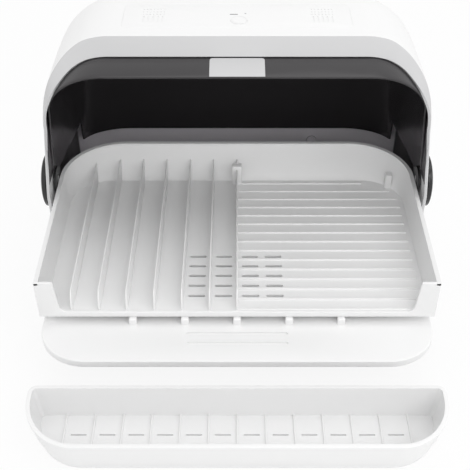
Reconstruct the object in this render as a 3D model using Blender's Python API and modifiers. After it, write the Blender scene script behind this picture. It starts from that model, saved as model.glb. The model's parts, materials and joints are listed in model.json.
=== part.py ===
"""Countertop steriliser cabinet: arched housing, flip-up smoked hood, pull-out dish rack, cutlery box.

Metres, +X right, +Y to the back, +Z up. The drawer is modelled pulled out and the hood flipped open.
Depths below are measured from the rack's open front; the empty "origin" then carries every piece,
so that the whole object stands with the middle of its footprint at the world's origin.
"""

import bmesh
import bpy
from math import atan2, cos, pi, radians, sin, sqrt
from mathutils import Matrix, Vector

# Shared clearances and helpers
GAP = 0.0003
OVERRUN = 0.02
CORNER_STEPS = 8
SIDE_STEPS = 9
ROUND_STEPS = 24
SMALL_STEPS = 12

# Housing
HOUSING_HALF_WIDTH = 0.212
SHOULDER_LEAN = 0.009
SHOULDER_HALF_WIDTH = HOUSING_HALF_WIDTH - SHOULDER_LEAN
HOUSING_HEIGHT = 0.282
HOUSING_LOW = 0.004
FLARE_HEIGHT = 0.110
SHOULDER_RADIUS = 0.072
SIDE_WALL = 0.0026
FRONT_SIDE_WALL = 0.0030
ROOF_WALL = 0.003
HOUSING_BACK = 0.340
REAR_TOP_DEPTH = 0.092
REAR_TOP_INSET = 0.070
REAR_SIDE_DEPTH = 0.050
REAR_SIDE_INSET = 0.030
BAND_DROP = 0.016
BAND_REACH = 0.0155
LIP_RADIUS = 0.054
LIP_INSET = 0.0034
LIP_HALF_WIDTH = SHOULDER_HALF_WIDTH - LIP_INSET
CAVITY_START = 0.190
BAND_PAST_SHARE = 0.5
# Front edge of the side walls, from the bottom up: (depth, share of the housing's height)
FRONT_EDGE = (
    (0.140, 0.0),
    (0.140, 0.355),
    (0.152, 0.443),
    (0.170, 0.532),
    (0.181, 0.621),
    (0.184, 0.762),
    (0.183, 0.887),
    (0.178, 1.0),
)

# Hood and its pivot
PIVOT_Y = 0.172
PIVOT_Z = 0.1025
HOOD_RADIUS = 0.160
HOOD_THICKNESS = 0.0026
HOOD_CORNER_WIDTH = 0.052
HOOD_CORNER_HEIGHT = 0.040
HOOD_OPEN_ANGLE = radians(75.9)
HOOD_TRAIL_ANGLE = radians(192.0)
HOOD_STEPS = 20
EAR_RADIUS = 0.0312
EAR_PROUD = 0.0004
EAR_THICKNESS = 0.0032
EAR_OUTER = HOUSING_HALF_WIDTH + EAR_PROUD
EAR_INNER = EAR_OUTER - EAR_THICKNESS
HUB_CLEARANCE = 0.0018
HUB_OUTER = EAR_INNER - HUB_CLEARANCE
HUB_PLATE = 0.0022
HUB_RADIUS = 0.016
HUB_REACH_SHARE = 1.2
HOOD_CONE_DEPTH = 0.0114
HOOD_HALF_WIDTH = HUB_OUTER - HOOD_CONE_DEPTH
CHEEK_FLOOR = 0.1046
CHEEK_FLOOR_BACK = 0.291
PIN_RADIUS = 0.005
WASHER_RADIUS = 0.014
WASHER_THICKNESS = 0.001
CAP_RADIUS = 0.030
CAP_STEPS = 32
DOME_STEPS = 5
CAP_RIM = 0.0035
CAP_DOME = 0.0045
CAP_SOCKET_DEPTH = 0.004
HANDLE_WIDTH = 0.056
HANDLE_PROUD = 0.0022
HANDLE_START_ANGLE = radians(0.3)
HANDLE_ANGLE = radians(10.4)

# Rack tray
TRAY_CLEARANCE = 0.0007
TRAY_HALF_WIDTH = HUB_OUTER - HUB_PLATE - TRAY_CLEARANCE
TRAY_DEPTH = 0.2494
TRAY_CORNER = 0.070
TRAY_TOP = 0.1023
TRAY_LOW = 0.0546
TRAY_FLOOR = 0.0609
TRAY_WALL = 0.0026
TRAY_PLATE = 0.003
TRAY_RIM_WIDTH = 0.0045
TRAY_RIM_HEIGHT = 0.003
TRAY_FLANGE = 0.019
TRAY_LIP_DEPTH = 0.003
TRAY_LIP_RISE = 0.0006
TRAY_FLANGE_LEAN = 0.003
TRAY_FLANGE_CORNER = 0.008
TRAY_SIDE_LEAN = 0.0040
TRAY_BACK_LEAN = 0.0214
# How far up the wall, and how much of the lean is left there
TRAY_WALL_SHARES = ((0.0, 1.0), (0.22, 0.66), (0.53, 0.33), (1.0, 0.0))
DIVIDER_BLOCK = (0.012, 0.008, 0.026)
CORNER_POST = (0.008, 0.008, 0.019)
CORNER_POST_INSETS = (0.0255, 0.0399)
FIN_COUNT = 7
FIN_PITCH_SHARE = 0.1392
FIN_PITCH = TRAY_HALF_WIDTH * FIN_PITCH_SHARE
FIN_THICKNESS = 0.0022
FIN_HEIGHT = 0.0219
FIN_FRONT = 0.0035
FIN_SLOPE_RUN = 0.009
FIN_SLOPE_STEPS = 4
FIN_REAR_SHARES = (1.0, 0.5, 0.0)
STRIPE_COUNT = 15
STRIPE_REAR_MARGIN = 0.0194
STRIPE_PITCH = (TRAY_DEPTH - STRIPE_REAR_MARGIN) / STRIPE_COUNT
STRIPE_WIDTH = 0.0032
STRIPE_HEIGHT = 0.0014
STRIPE_SIDE_MARGIN = 0.005
SLOT_ROWS = 5
SLOT_WIDTH_SHARE = 0.65
SLOT_WIDTH = FIN_PITCH * SLOT_WIDTH_SHARE
SLOT_LENGTH = 0.0042
SLOT_MARGIN = 0.0009
SLOT_COLUMN_SHARES = (-1.5, -0.5, 0.5, 1.4)

# Drawer base
BASE_SHELF_INSET = 0.0027
BASE_SHELF_HALF_WIDTH = TRAY_HALF_WIDTH - BASE_SHELF_INSET
BASE_SHELF_FRONT = -0.054
BASE_SHELF_REAR_INSET = 0.0034
BASE_SHELF_BACK = TRAY_DEPTH - BASE_SHELF_REAR_INSET
BASE_SHELF_TOP = 0.047
BASE_SHELF_PLATE = 0.003
BASE_SHELF_LOW = 0.038
BASE_SHELF_WALL = 0.0026
BASE_CORNER_WIDTH = 0.050
BASE_CORNER_DEPTH = 0.046
BASE_REAR_CORNER = 0.050
SUPPORT_WIDTH = 0.008
SUPPORT_INSET = 0.0545
SUPPORT_X = TRAY_HALF_WIDTH - SUPPORT_INSET
SUPPORT_FRONT = 0.018
GROOVE_WIDTH = 0.104
GROOVE_LENGTH = 0.0045
GROOVE_DEPTH = 0.0012
GROOVE_PLACES = (-0.0165, -0.0300)
RIB_COUNT = 5
RIB_SPACING = 0.054
RIB_WIDTH = 0.008
RIB_DEPTH = 0.004

# Cutlery box
BOX_HALF_WIDTH = 0.202
BOX_BACK = -0.082
BOX_DEPTH = 0.0724
BOX_HEIGHT = 0.0445
BOX_CORNER_WIDTH = 0.052
BOX_CORNER_DEPTH = 0.058
BOX_TAPER = 0.0074
BOX_WALL = 0.0024
BOX_FLOOR = 0.0027
BOX_OVERHANG = 0.0016
BOX_RIM_HEIGHT = 0.003
BOX_RIB_COUNT = 13
BOX_RIB_PITCH_SHARE = 0.1398
BOX_RIB_PITCH = BOX_HALF_WIDTH * BOX_RIB_PITCH_SHARE
BOX_RIB_WIDTH = 0.0016
BOX_RIB_HEIGHT = 0.002
BOX_SLOT_WIDTH_SHARE = 0.567
BOX_SLOT_WIDTH = BOX_RIB_PITCH * BOX_SLOT_WIDTH_SHARE
BOX_SLOT_LENGTH = 0.0026
BOX_SLOT_PLACES = (0.030, 0.044)
BOX_REAR_CORNER = 0.008

# Base pan, rails and feet
PAN_PLATE = 0.003
PAN_MARGIN = 0.0014
PAN_FRONT = 0.024
PAN_FRONT_INSET = 0.015
PAN_FRONT_HALF_WIDTH = HOUSING_HALF_WIDTH - PAN_FRONT_INSET
PAN_STEP = 0.148
PAN_WALL_HEIGHT = 0.034
PAN_WALL = 0.0026
PAN_CORNER = 0.040
RAIL_INSET = 0.032
RAIL_X = HOUSING_HALF_WIDTH - RAIL_INSET
RAIL_WIDTH = 0.014
RAIL_START = 0.048
RAIL_REAR_GAP = 0.014
RAIL_END = HOUSING_BACK - RAIL_REAR_GAP
GLIDE_LENGTH = 0.030
GLIDE_WIDTH = 0.012
GLIDE_FRONT = 0.060
GLIDE_REAR_INSET = 0.051
GLIDE_PLACES = (GLIDE_FRONT, BASE_SHELF_BACK - GLIDE_REAR_INSET)
FOOT_RADIUS = 0.010
# Distance from the housing's side, and depth
FOOT_PLACES = ((0.040, 0.060), (0.026, 0.290))
SCREW_RADIUS = 0.0016
SCREW_HEAD_RADIUS = 0.0032
SCREW_HEAD_HEIGHT = 0.0018
SCREW_LENGTH = 0.012
RAIL_SCREW_PLACES = (0.080, 0.270)
BOSS_RADIUS = 0.0052
BOSS_HEIGHT = 0.020
BOSS_INSET = 0.007
BOSS_X = HOUSING_HALF_WIDTH - BOSS_INSET
BOSS_PLACES = (0.205, 0.275)

# Reflector liner, lamps and electronics
LINER_THICKNESS = 0.0016
LINER_CEILING = 0.2680
LINER_RADIUS = 0.066
LINER_STEPS = 12
LINER_REAR_GAP = 0.005
LINER_BACK = HOUSING_BACK - LINER_REAR_GAP
LINER_FRONT = 0.192
LINER_POST_RADIUS = 0.004
LINER_POST_DEPTHS = (0.204, 0.240)
LINER_POST_INSET = 0.008
LINER_LOW = 0.082
LAMP_RADIUS = 0.0078
LAMP_LENGTH_SHARE = 0.4906
LAMP_HALF_LENGTH = HOUSING_HALF_WIDTH * LAMP_LENGTH_SHARE
LINER_SIDE_MARGIN = 0.014
LINER_HALF_WIDTH = LAMP_HALF_LENGTH + LINER_SIDE_MARGIN
LAMP_CAP_LENGTH = 0.010
LAMP_ORBIT = 0.182
LAMP_ANGLES = (radians(33.0), radians(53.0))
LAMP_PIN_RADIUS = 0.002
LAMP_PIN_LENGTH = 0.006
HOLDER_THICKNESS = 0.010
HOLDER_MARGIN = 0.003
HOLDER_SPREAD = radians(5.0)
PANEL_WIDTH_SHARE = 0.566
PANEL_HALF_WIDTH = HOUSING_HALF_WIDTH * PANEL_WIDTH_SHARE
PANEL_FRONT = 0.198
PANEL_BACK = 0.246
PANEL_PLATE = 0.0012
PANEL_CORNER = 0.006
BUTTON_X = 0.003
BUTTON_Y = 0.214
BUTTON_RADIUS = 0.0085
BUTTON_PROUD = 0.0006
BUTTON_FLANGE = 0.0010
SPRING_RADIUS = 0.0048
SPRING_WIRE = 0.00035
SPRING_TURNS = 4
SPRING_POINTS = 8
LENS_X = -0.002
LENS_Y = 0.2285
LENS_WIDTH = 0.010
LENS_LENGTH = 0.0016
DOT_X = 0.0115
DOT_Y = 0.2305
DOT_RADIUS = 0.0011
BOARD_THICKNESS = 0.0016
BOARD_WIDTH_SHARE = 0.375
BOARD_HALF_WIDTH = PANEL_HALF_WIDTH * BOARD_WIDTH_SHARE
BOARD_FRONT = 0.200
BOARD_BACK = 0.238
DRIVER_SIZE = (PANEL_HALF_WIDTH * BOARD_WIDTH_SHARE, 0.030, 0.0060)
SIDE_PLACE_SHARE = 0.617
DRIVER_PLACE = (-PANEL_HALF_WIDTH * SIDE_PLACE_SHARE, 0.222)
SWITCH_SIZE = (0.020, 0.010, 0.006)
SWITCH_PLACE = (PANEL_HALF_WIDTH * SIDE_PLACE_SHARE, 0.199)
VENT_PLACE_SHARE = 0.667
VENT_X = PANEL_HALF_WIDTH * VENT_PLACE_SHARE
VENT_Y = 0.223
VENT_COLUMNS = 5
VENT_PITCH = 0.0048
VENT_SLOT = (0.0016, 0.012)
INLET_X = 0.100
INLET_Z = 0.045
INLET_RADIUS = 0.0062
INLET_BORE = 0.0032
INLET_DEPTH = 0.012
INLET_FLANGE_RADIUS = 0.0085
INLET_FLANGE = 0.0012

WHITE = (0.86, 0.87, 0.87)
SOFT_WHITE = (0.80, 0.81, 0.81)
BLACK = (0.010, 0.010, 0.011)
GREY = (0.30, 0.29, 0.31)
RUBBER = (0.04, 0.04, 0.04)
STEEL = (0.55, 0.55, 0.56)
BOARD_GREEN = (0.03, 0.12, 0.06)
GLASS = (0.62, 0.66, 0.80)


# Scene, materials and solids

def clear_scene():
    for obj in list(bpy.data.objects):
        bpy.data.objects.remove(obj, do_unlink=True)


def make_collection(name):
    collection = bpy.data.collections.new(name)
    bpy.context.scene.collection.children.link(collection)
    return collection


clear_scene()
PARTS = make_collection("steriliser_cabinet")
FOOTPRINT_MIDDLE = (HOUSING_BACK + BOX_BACK - BOX_DEPTH) / 2
ORIGIN = bpy.data.objects.new("origin", None)
ORIGIN.location = (0, -FOOTPRINT_MIDDLE, 0)
PARTS.objects.link(ORIGIN)


def finish(obj, colour, roughness=0.35, metallic=0.0, parent=None):
    """Give a piece its own plastic, metal or glass, shade it and hang it on its carrier."""
    material = bpy.data.materials.new(obj.name)
    material.use_nodes = True
    shader = material.node_tree.nodes["Principled BSDF"]
    shader.inputs["Base Color"].default_value = (*colour, 1)
    shader.inputs["Roughness"].default_value = roughness
    shader.inputs["Metallic"].default_value = metallic
    obj.data.materials.clear()
    obj.data.materials.append(material)
    obj.data.shade_smooth()
    obj.data.set_sharp_from_angle(angle=radians(35))
    carry(obj, parent or ORIGIN)
    return obj


def carry(obj, parent):
    """Parent a piece modelled in cabinet coordinates, so that it stays where it is."""
    obj.parent = parent
    if parent != ORIGIN:
        obj.matrix_parent_inverse = Matrix.Translation(-parent.location)


def axis_empty(name, location):
    """An empty on a joint's axis, in cabinet coordinates under the origin."""
    empty = bpy.data.objects.new(name, None)
    empty.location = location
    empty.parent = ORIGIN
    PARTS.objects.link(empty)
    return empty


def face_outwards(mesh):
    bmesh.ops.recalc_face_normals(mesh, faces=mesh.faces)
    if mesh.calc_volume(signed=True) < 0:
        bmesh.ops.reverse_faces(mesh, faces=mesh.faces)


def object_from(name, mesh):
    data = bpy.data.meshes.new(name)
    face_outwards(mesh)
    mesh.to_mesh(data)
    mesh.free()
    obj = bpy.data.objects.new(name, data)
    PARTS.objects.link(obj)
    return obj


def box(name, low, high):
    """A block between two corners."""
    mesh = bmesh.new()
    bmesh.ops.create_cube(mesh, size=1)
    low, high = Vector(low), Vector(high)
    bmesh.ops.scale(mesh, vec=high - low, verts=mesh.verts)
    bmesh.ops.translate(mesh, vec=(low + high) / 2, verts=mesh.verts)
    return object_from(name, mesh)


def cylinder(name, radius, start, end, steps=ROUND_STEPS):
    """A round bar between two points."""
    start, end = Vector(start), Vector(end)
    mesh = bmesh.new()
    bmesh.ops.create_cone(
        mesh, cap_ends=True, segments=steps, radius1=radius, radius2=radius, depth=(end - start).length
    )
    turn = Vector((0, 0, 1)).rotation_difference(end - start).to_matrix().to_4x4()
    mesh.transform(Matrix.Translation((start + end) / 2) @ turn)
    return object_from(name, mesh)


PLANES = {
    "z": lambda a, b, h: (a, b, h),
    "x": lambda a, b, h: (h, a, b),
    "y": lambda a, b, h: (a, h, b),
}


def prism(name, outline, low, high, axis="z"):
    """A flat outline pulled along one axis; for x it is drawn in (y, z), for y in (x, z)."""
    place = PLANES[axis]
    mesh = bmesh.new()
    face = mesh.faces.new([mesh.verts.new(place(a, b, low)) for a, b in outline])
    pulled = bmesh.ops.extrude_face_region(mesh, geom=[face])
    corners = [item for item in pulled["geom"] if isinstance(item, bmesh.types.BMVert)]
    bmesh.ops.translate(mesh, vec=place(0, 0, high - low), verts=corners)
    return object_from(name, mesh)


def loft(name, rings, triangles=False):
    """A closed solid through unlike rings of equally many points; bent faces may need triangles."""
    mesh = bmesh.new()
    rows = [[mesh.verts.new(point) for point in ring] for ring in rings]
    for here, there in zip(rows, rows[1:]):
        for index, corner in enumerate(here):
            after = (index + 1) % len(here)
            mesh.faces.new((corner, here[after], there[after], there[index]))
    mesh.faces.new(rows[0])
    mesh.faces.new(rows[-1])
    if triangles:
        bmesh.ops.triangulate(mesh, faces=mesh.faces)
    return object_from(name, mesh)


def baked(obj):
    """Replace an object's modifiers by the mesh that they make."""
    bpy.context.view_layer.update()
    evaluated = obj.evaluated_get(bpy.context.evaluated_depsgraph_get())
    mesh = bpy.data.meshes.new_from_object(evaluated)
    obj.modifiers.clear()
    obj.data = mesh
    return obj


def combine(target, tool, operation):
    modifier = target.modifiers.new(operation.lower(), "BOOLEAN")
    modifier.operation = operation
    modifier.object = tool
    modifier.solver = "EXACT"
    baked(target)
    bpy.data.objects.remove(tool, do_unlink=True)
    return target


def cut(target, *tools):
    for tool in tools:
        combine(target, tool, "DIFFERENCE")
    return target


def join(target, *tools):
    for tool in tools:
        combine(target, tool, "UNION")
    return target


# Outlines

def arc(centre_a, centre_b, radius_a, radius_b, start, end, steps=CORNER_STEPS):
    """Points on an elliptic arc, angles in radians."""
    return [
        (
            centre_a + radius_a * cos(start + (end - start) * step / steps),
            centre_b + radius_b * sin(start + (end - start) * step / steps),
        )
        for step in range(steps + 1)
    ]


def mirrored(half):
    """A full outline from its right half, listed from one end to the other."""
    return half + [(-a, b) for a, b in reversed(half)]


def tray_outline(inset, front, lean_share=0.0):
    """Plan of the rack at one height: square at its open front, two large round rear corners."""
    half = TRAY_HALF_WIDTH - inset - TRAY_SIDE_LEAN * lean_share
    radius = TRAY_CORNER - inset - TRAY_BACK_LEAN * lean_share
    rear = TRAY_DEPTH - inset - TRAY_BACK_LEAN * lean_share
    corner = arc(half - radius, rear - radius, radius, radius, 0, pi / 2)
    return mirrored([(half, front)] + corner)


def tray_reach(x, lean_share):
    """Depth of the rack wall's inner face at a place across, for one height."""
    half = TRAY_HALF_WIDTH - TRAY_WALL - TRAY_SIDE_LEAN * lean_share
    radius = TRAY_CORNER - TRAY_WALL - TRAY_BACK_LEAN * lean_share
    rear = TRAY_DEPTH - TRAY_WALL - TRAY_BACK_LEAN * lean_share
    beyond = max(abs(x) - (half - radius), 0)
    return rear - radius + sqrt(max(radius * radius - beyond * beyond, 0))


def tray_lean(height):
    """Share of the wall's lean that is left at a height above the rack's floor."""
    share = (height - TRAY_FLOOR) / (TRAY_TOP - TRAY_FLOOR)
    for (low, lean), (high, next_lean) in zip(TRAY_WALL_SHARES, TRAY_WALL_SHARES[1:]):
        if share <= high:
            return lean + (next_lean - lean) * (share - low) / (high - low)
    return 0.0


def front_rounded(half, front, back, corner_width, corner_depth, rear_corner):
    """Plan with two elliptic front corners and two small round rear ones."""
    low = arc(half - corner_width, front + corner_depth, corner_width, corner_depth, -pi / 2, 0)
    high = arc(half - rear_corner, back - rear_corner, rear_corner, rear_corner, 0, pi / 2)
    return mirrored(low + high)


def rounded_rectangle(low, high, radius):
    (left, front), (right, back) = low, high
    outline = arc(right - radius, front + radius, radius, radius, -pi / 2, 0)
    outline += arc(right - radius, back - radius, radius, radius, 0, pi / 2)
    outline += arc(left + radius, back - radius, radius, radius, pi / 2, pi)
    outline += arc(left + radius, front + radius, radius, radius, pi, 3 * pi / 2)
    return outline


def housing_half_width(height):
    """Outer half width of the side walls, which lean in above the flare."""
    shoulder = HOUSING_HEIGHT - SHOULDER_RADIUS
    share = min(max((height - FLARE_HEIGHT) / (shoulder - FLARE_HEIGHT), 0), 1)
    return HOUSING_HALF_WIDTH + (SHOULDER_HALF_WIDTH - HOUSING_HALF_WIDTH) * share


def front_edge_depth(height):
    """Depth of the side walls' front edge at a height."""
    place = height / HOUSING_HEIGHT
    for (depth, low), (next_depth, high) in zip(FRONT_EDGE, FRONT_EDGE[1:]):
        if place <= high:
            share = (place - low) / (high - low)
            return depth + (next_depth - depth) * share
    return FRONT_EDGE[-1][0]


def arch(half_low, half_high, roof, radius, low):
    """The cabinet's front view as a closed ring, from the bottom right over the roof."""
    shoulder = roof - radius
    side = []
    for step in range(SIDE_STEPS):
        height = low + (shoulder - low) * step / SIDE_STEPS
        share = min(max((height - FLARE_HEIGHT) / (shoulder - FLARE_HEIGHT), 0), 1)
        side.append((half_low + (half_high - half_low) * share, height))
    corner = arc(half_high - radius, shoulder, radius, radius, 0, pi / 2)
    return mirrored(side + corner)


def rear_inset(depth, reach, amount, wall=0.0):
    """How far a rounded rear edge has turned in at a depth."""
    start = HOUSING_BACK - reach
    share = min(max((depth - start) / (reach - wall), 0), 1)
    return amount * (1 - sqrt(max(1 - share * share, 0)))


def housing_ring(depth, side_wall=0.0, roof_wall=0.0, low=HOUSING_LOW):
    """Flat ring of the housing at a depth, or of its cavity with the walls taken off."""
    side = side_wall + rear_inset(depth, REAR_SIDE_DEPTH, REAR_SIDE_INSET, roof_wall)
    top = roof_wall + rear_inset(depth, REAR_TOP_DEPTH, REAR_TOP_INSET, roof_wall)
    ring = arch(
        HOUSING_HALF_WIDTH - side,
        SHOULDER_HALF_WIDTH - side,
        HOUSING_HEIGHT - top,
        SHOULDER_RADIUS - roof_wall,
        low,
    )
    return [(x, depth, z) for x, z in ring]


def rear_stations(end):
    """Depths from the start of the rear rounding to a rear face, closer together at the end."""
    steps = CORNER_STEPS - 1
    start = HOUSING_BACK - REAR_TOP_DEPTH
    return [start + (end - start) * sin(pi / 2 * step / steps) for step in range(steps + 1)]


# Housing and what is fixed to it

def housing_shell():
    crease = []
    band = []
    for x, z in arch(
        HOUSING_HALF_WIDTH, SHOULDER_HALF_WIDTH, HOUSING_HEIGHT, SHOULDER_RADIUS, HOUSING_LOW
    ):
        crease.append((x, front_edge_depth(z), z))
    lip = arch(
        HOUSING_HALF_WIDTH - FRONT_SIDE_WALL,
        LIP_HALF_WIDTH,
        HOUSING_HEIGHT - BAND_DROP,
        LIP_RADIUS,
        HOUSING_LOW,
    )
    top = HOUSING_HEIGHT - BAND_DROP
    for (x, y, z), (lip_x, lip_z) in zip(crease, lip):
        share = max((lip_z - FLARE_HEIGHT) / (top - FLARE_HEIGHT), 0) ** 2
        past = 1 + BAND_PAST_SHARE
        band.append((
            x + (lip_x - x) * past,
            y - BAND_REACH * share * past,
            z + (lip_z - z) * past,
        ))
    rings = [band, crease] + [housing_ring(depth) for depth in rear_stations(HOUSING_BACK)]
    shell = loft("housing_shell", rings)

    mouth = arch(
        HOUSING_HALF_WIDTH - FRONT_SIDE_WALL,
        LIP_HALF_WIDTH,
        HOUSING_HEIGHT - BAND_DROP,
        LIP_RADIUS,
        HOUSING_LOW - OVERRUN,
    )
    opening = prism("opening", mouth, HOUSING_LOW, CAVITY_START + OVERRUN / 2, "y")
    cavity_low = HOUSING_LOW - OVERRUN
    inner_back = HOUSING_BACK - ROOF_WALL
    cavity_rings = [housing_ring(CAVITY_START, SIDE_WALL, ROOF_WALL, cavity_low)]
    for depth in rear_stations(inner_back):
        cavity_rings.append(housing_ring(depth, SIDE_WALL, ROOF_WALL, cavity_low))
    cavity = loft("cavity", cavity_rings)
    cut(shell, opening, cavity)

    for side in (1, -1):
        ear = cylinder(
            "ear",
            EAR_RADIUS,
            (side * EAR_INNER, PIVOT_Y, PIVOT_Z),
            (side * EAR_OUTER, PIVOT_Y, PIVOT_Z),
            CAP_STEPS,
        )
        join(shell, ear)
    pin_hole = cylinder(
        "pin_hole",
        PIN_RADIUS + GAP,
        (-EAR_OUTER - OVERRUN, PIVOT_Y, PIVOT_Z),
        (EAR_OUTER + OVERRUN, PIVOT_Y, PIVOT_Z),
    )
    cut(shell, pin_hole)

    floor_top = HOUSING_LOW + PAN_PLATE + 2 * GAP
    for side in (1, -1):
        for depth in BOSS_PLACES:
            foot = (side * BOSS_X, depth, floor_top)
            top_end = (side * BOSS_X, depth, floor_top + BOSS_HEIGHT)
            join(shell, cylinder("boss", BOSS_RADIUS, foot, top_end))
            bore_end = (side * BOSS_X, depth, floor_top + SCREW_LENGTH)
            bore_start = (side * BOSS_X, depth, floor_top - PAN_PLATE)
            bore = SCREW_RADIUS + GAP
            cut(shell, cylinder("boss_bore", bore, bore_start, bore_end, SMALL_STEPS))

    for side in (1, -1):
        x = side * (LINER_HALF_WIDTH - LINER_POST_INSET)
        for depth in LINER_POST_DEPTHS:
            low = (x, depth, LINER_CEILING + LINER_THICKNESS + GAP)
            high = (x, depth, HOUSING_HEIGHT - ROOF_WALL / 2)
            join(shell, cylinder("liner_post", LINER_POST_RADIUS, low, high))
    cut(shell, panel_recess(), *roof_openings(), *inlet_openings())
    return finish(shell, WHITE, 0.32)


def panel_recess():
    outline = rounded_rectangle(
        (-PANEL_HALF_WIDTH - GAP, PANEL_FRONT - GAP),
        (PANEL_HALF_WIDTH + GAP, PANEL_BACK + GAP),
        PANEL_CORNER,
    )
    return prism("recess", outline, panel_low() - GAP, HOUSING_HEIGHT + OVERRUN)


def panel_low():
    """Underside of the control panel, below the roof's highest point where the roof has begun to fall."""
    return HOUSING_HEIGHT - rear_inset(PANEL_BACK, REAR_TOP_DEPTH, REAR_TOP_INSET) - PANEL_PLATE


def roof_openings():
    """Holes under the vents, the button, the status lens and the dot."""
    low = HOUSING_HEIGHT - ROOF_WALL - OVERRUN
    high = HOUSING_HEIGHT + OVERRUN
    tools = [
        cylinder(
            "button_hole",
            BUTTON_RADIUS + BUTTON_FLANGE + GAP,
            (BUTTON_X, BUTTON_Y, low),
            (BUTTON_X, BUTTON_Y, high),
        ),
        box(
            "lens_hole",
            (LENS_X - LENS_WIDTH / 2 - GAP, LENS_Y - LENS_LENGTH / 2 - GAP, low),
            (LENS_X + LENS_WIDTH / 2 + GAP, LENS_Y + LENS_LENGTH / 2 + GAP, high),
        ),
        cylinder("dot_hole", DOT_RADIUS + GAP, (DOT_X, DOT_Y, low), (DOT_X, DOT_Y, high), SMALL_STEPS),
    ]
    span = (VENT_COLUMNS * VENT_PITCH) / 2
    for side in (1, -1):
        tools.append(box(
            "vent_hole",
            (side * VENT_X - span, VENT_Y - VENT_SLOT[1], low),
            (side * VENT_X + span, VENT_Y + VENT_SLOT[1], high),
        ))
    return tools


def inlet_openings():
    """Hole of the inlet and the seat of its flange, which ends level with the back."""
    hole = cylinder(
        "inlet_hole",
        INLET_RADIUS + GAP,
        (INLET_X, HOUSING_BACK - ROOF_WALL - OVERRUN, INLET_Z),
        (INLET_X, HOUSING_BACK + OVERRUN, INLET_Z),
    )
    seat = cylinder(
        "flange_seat",
        INLET_FLANGE_RADIUS + GAP,
        (INLET_X, HOUSING_BACK - INLET_FLANGE - GAP, INLET_Z),
        (INLET_X, HOUSING_BACK + OVERRUN, INLET_Z),
    )
    return [hole, seat]


def control_panel():
    low = panel_low()
    outline = rounded_rectangle(
        (-PANEL_HALF_WIDTH, PANEL_FRONT), (PANEL_HALF_WIDTH, PANEL_BACK), PANEL_CORNER
    )
    plate = prism("control_panel", outline, low, low + PANEL_PLATE)
    start = low - OVERRUN
    end = low + OVERRUN
    cut(
        plate,
        cylinder(
            "hole", BUTTON_RADIUS + GAP, (BUTTON_X, BUTTON_Y, start), (BUTTON_X, BUTTON_Y, end)
        ),
        box(
            "hole",
            (LENS_X - LENS_WIDTH / 2 - GAP, LENS_Y - LENS_LENGTH / 2 - GAP, start),
            (LENS_X + LENS_WIDTH / 2 + GAP, LENS_Y + LENS_LENGTH / 2 + GAP, end),
        ),
        cylinder("hole", DOT_RADIUS + GAP, (DOT_X, DOT_Y, start), (DOT_X, DOT_Y, end), SMALL_STEPS),
    )
    width, length = VENT_SLOT
    for side in (1, -1):
        for column in range(VENT_COLUMNS):
            x = side * VENT_X + (column - (VENT_COLUMNS - 1) / 2) * VENT_PITCH
            cut(plate, box(
                "slot",
                (x - width / 2, VENT_Y - length / 2, start),
                (x + width / 2, VENT_Y + length / 2, end),
            ))
    return finish(plate, SOFT_WHITE, 0.4)


def status_lights():
    low = board_top() + GAP
    high = panel_low() + PANEL_PLATE
    lens = box(
        "status_lens",
        (LENS_X - LENS_WIDTH / 2, LENS_Y - LENS_LENGTH / 2, low),
        (LENS_X + LENS_WIDTH / 2, LENS_Y + LENS_LENGTH / 2, high),
    )
    dot = cylinder("indicator_dot", DOT_RADIUS, (DOT_X, DOT_Y, low), (DOT_X, DOT_Y, high), SMALL_STEPS)
    finish(lens, GREY, 0.2)
    finish(dot, SOFT_WHITE, 0.25)


def board_top():
    return LINER_CEILING + LINER_THICKNESS + GAP + BOARD_THICKNESS


def control_board():
    top = board_top()
    board = box(
        "control_board",
        (-BOARD_HALF_WIDTH, BOARD_FRONT, top - BOARD_THICKNESS),
        (BOARD_HALF_WIDTH, BOARD_BACK, top),
    )
    finish(board, BOARD_GREEN, 0.45)


def power_button():
    """A round cap with a flange that stays under the panel; it sinks by its travel."""
    empty = axis_empty("button_axis", (BUTTON_X, BUTTON_Y, panel_low()))
    flange_top = panel_low() - GAP
    flange_low = flange_top - BUTTON_FLANGE
    cap = cylinder(
        "power_button",
        BUTTON_RADIUS,
        (BUTTON_X, BUTTON_Y, flange_low),
        (BUTTON_X, BUTTON_Y, panel_low() + PANEL_PLATE + BUTTON_PROUD),
    )
    flange = cylinder(
        "flange",
        BUTTON_RADIUS + BUTTON_FLANGE,
        (BUTTON_X, BUTTON_Y, flange_low - GAP),
        (BUTTON_X, BUTTON_Y, flange_top),
    )
    join(cap, flange)
    finish(cap, WHITE, 0.3, parent=empty)
    button_spring(board_top() + GAP, flange_low - 2 * GAP)


def button_spring(low, high):
    """A round wire spring between the board and the button."""
    curve = bpy.data.curves.new("button_spring", "CURVE")
    curve.dimensions = "3D"
    curve.bevel_depth = SPRING_WIRE
    curve.bevel_resolution = 1
    curve.use_fill_caps = True
    count = SPRING_TURNS * SPRING_POINTS + 1
    line = curve.splines.new("POLY")
    line.points.add(count - 1)
    start = low + SPRING_WIRE
    rise = high - low - 2 * SPRING_WIRE
    for index, point in enumerate(line.points):
        angle = 2 * pi * index / SPRING_POINTS
        x = BUTTON_X + SPRING_RADIUS * cos(angle)
        y = BUTTON_Y + SPRING_RADIUS * sin(angle)
        point.co = (x, y, start + rise * index / (count - 1), 1)
    wire = bpy.data.objects.new("button_spring_wire", curve)
    PARTS.objects.link(wire)
    bpy.context.view_layer.update()
    evaluated = wire.evaluated_get(bpy.context.evaluated_depsgraph_get())
    mesh = bmesh.new()
    mesh.from_mesh(bpy.data.meshes.new_from_object(evaluated))
    bmesh.ops.remove_doubles(mesh, verts=mesh.verts, dist=GAP / 100)
    bpy.data.objects.remove(wire, do_unlink=True)
    print("button spring, gap between turns:", rise / SPRING_TURNS - 2 * SPRING_WIRE)
    finish(object_from("button_spring", mesh), STEEL, 0.3, 1.0)


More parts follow.
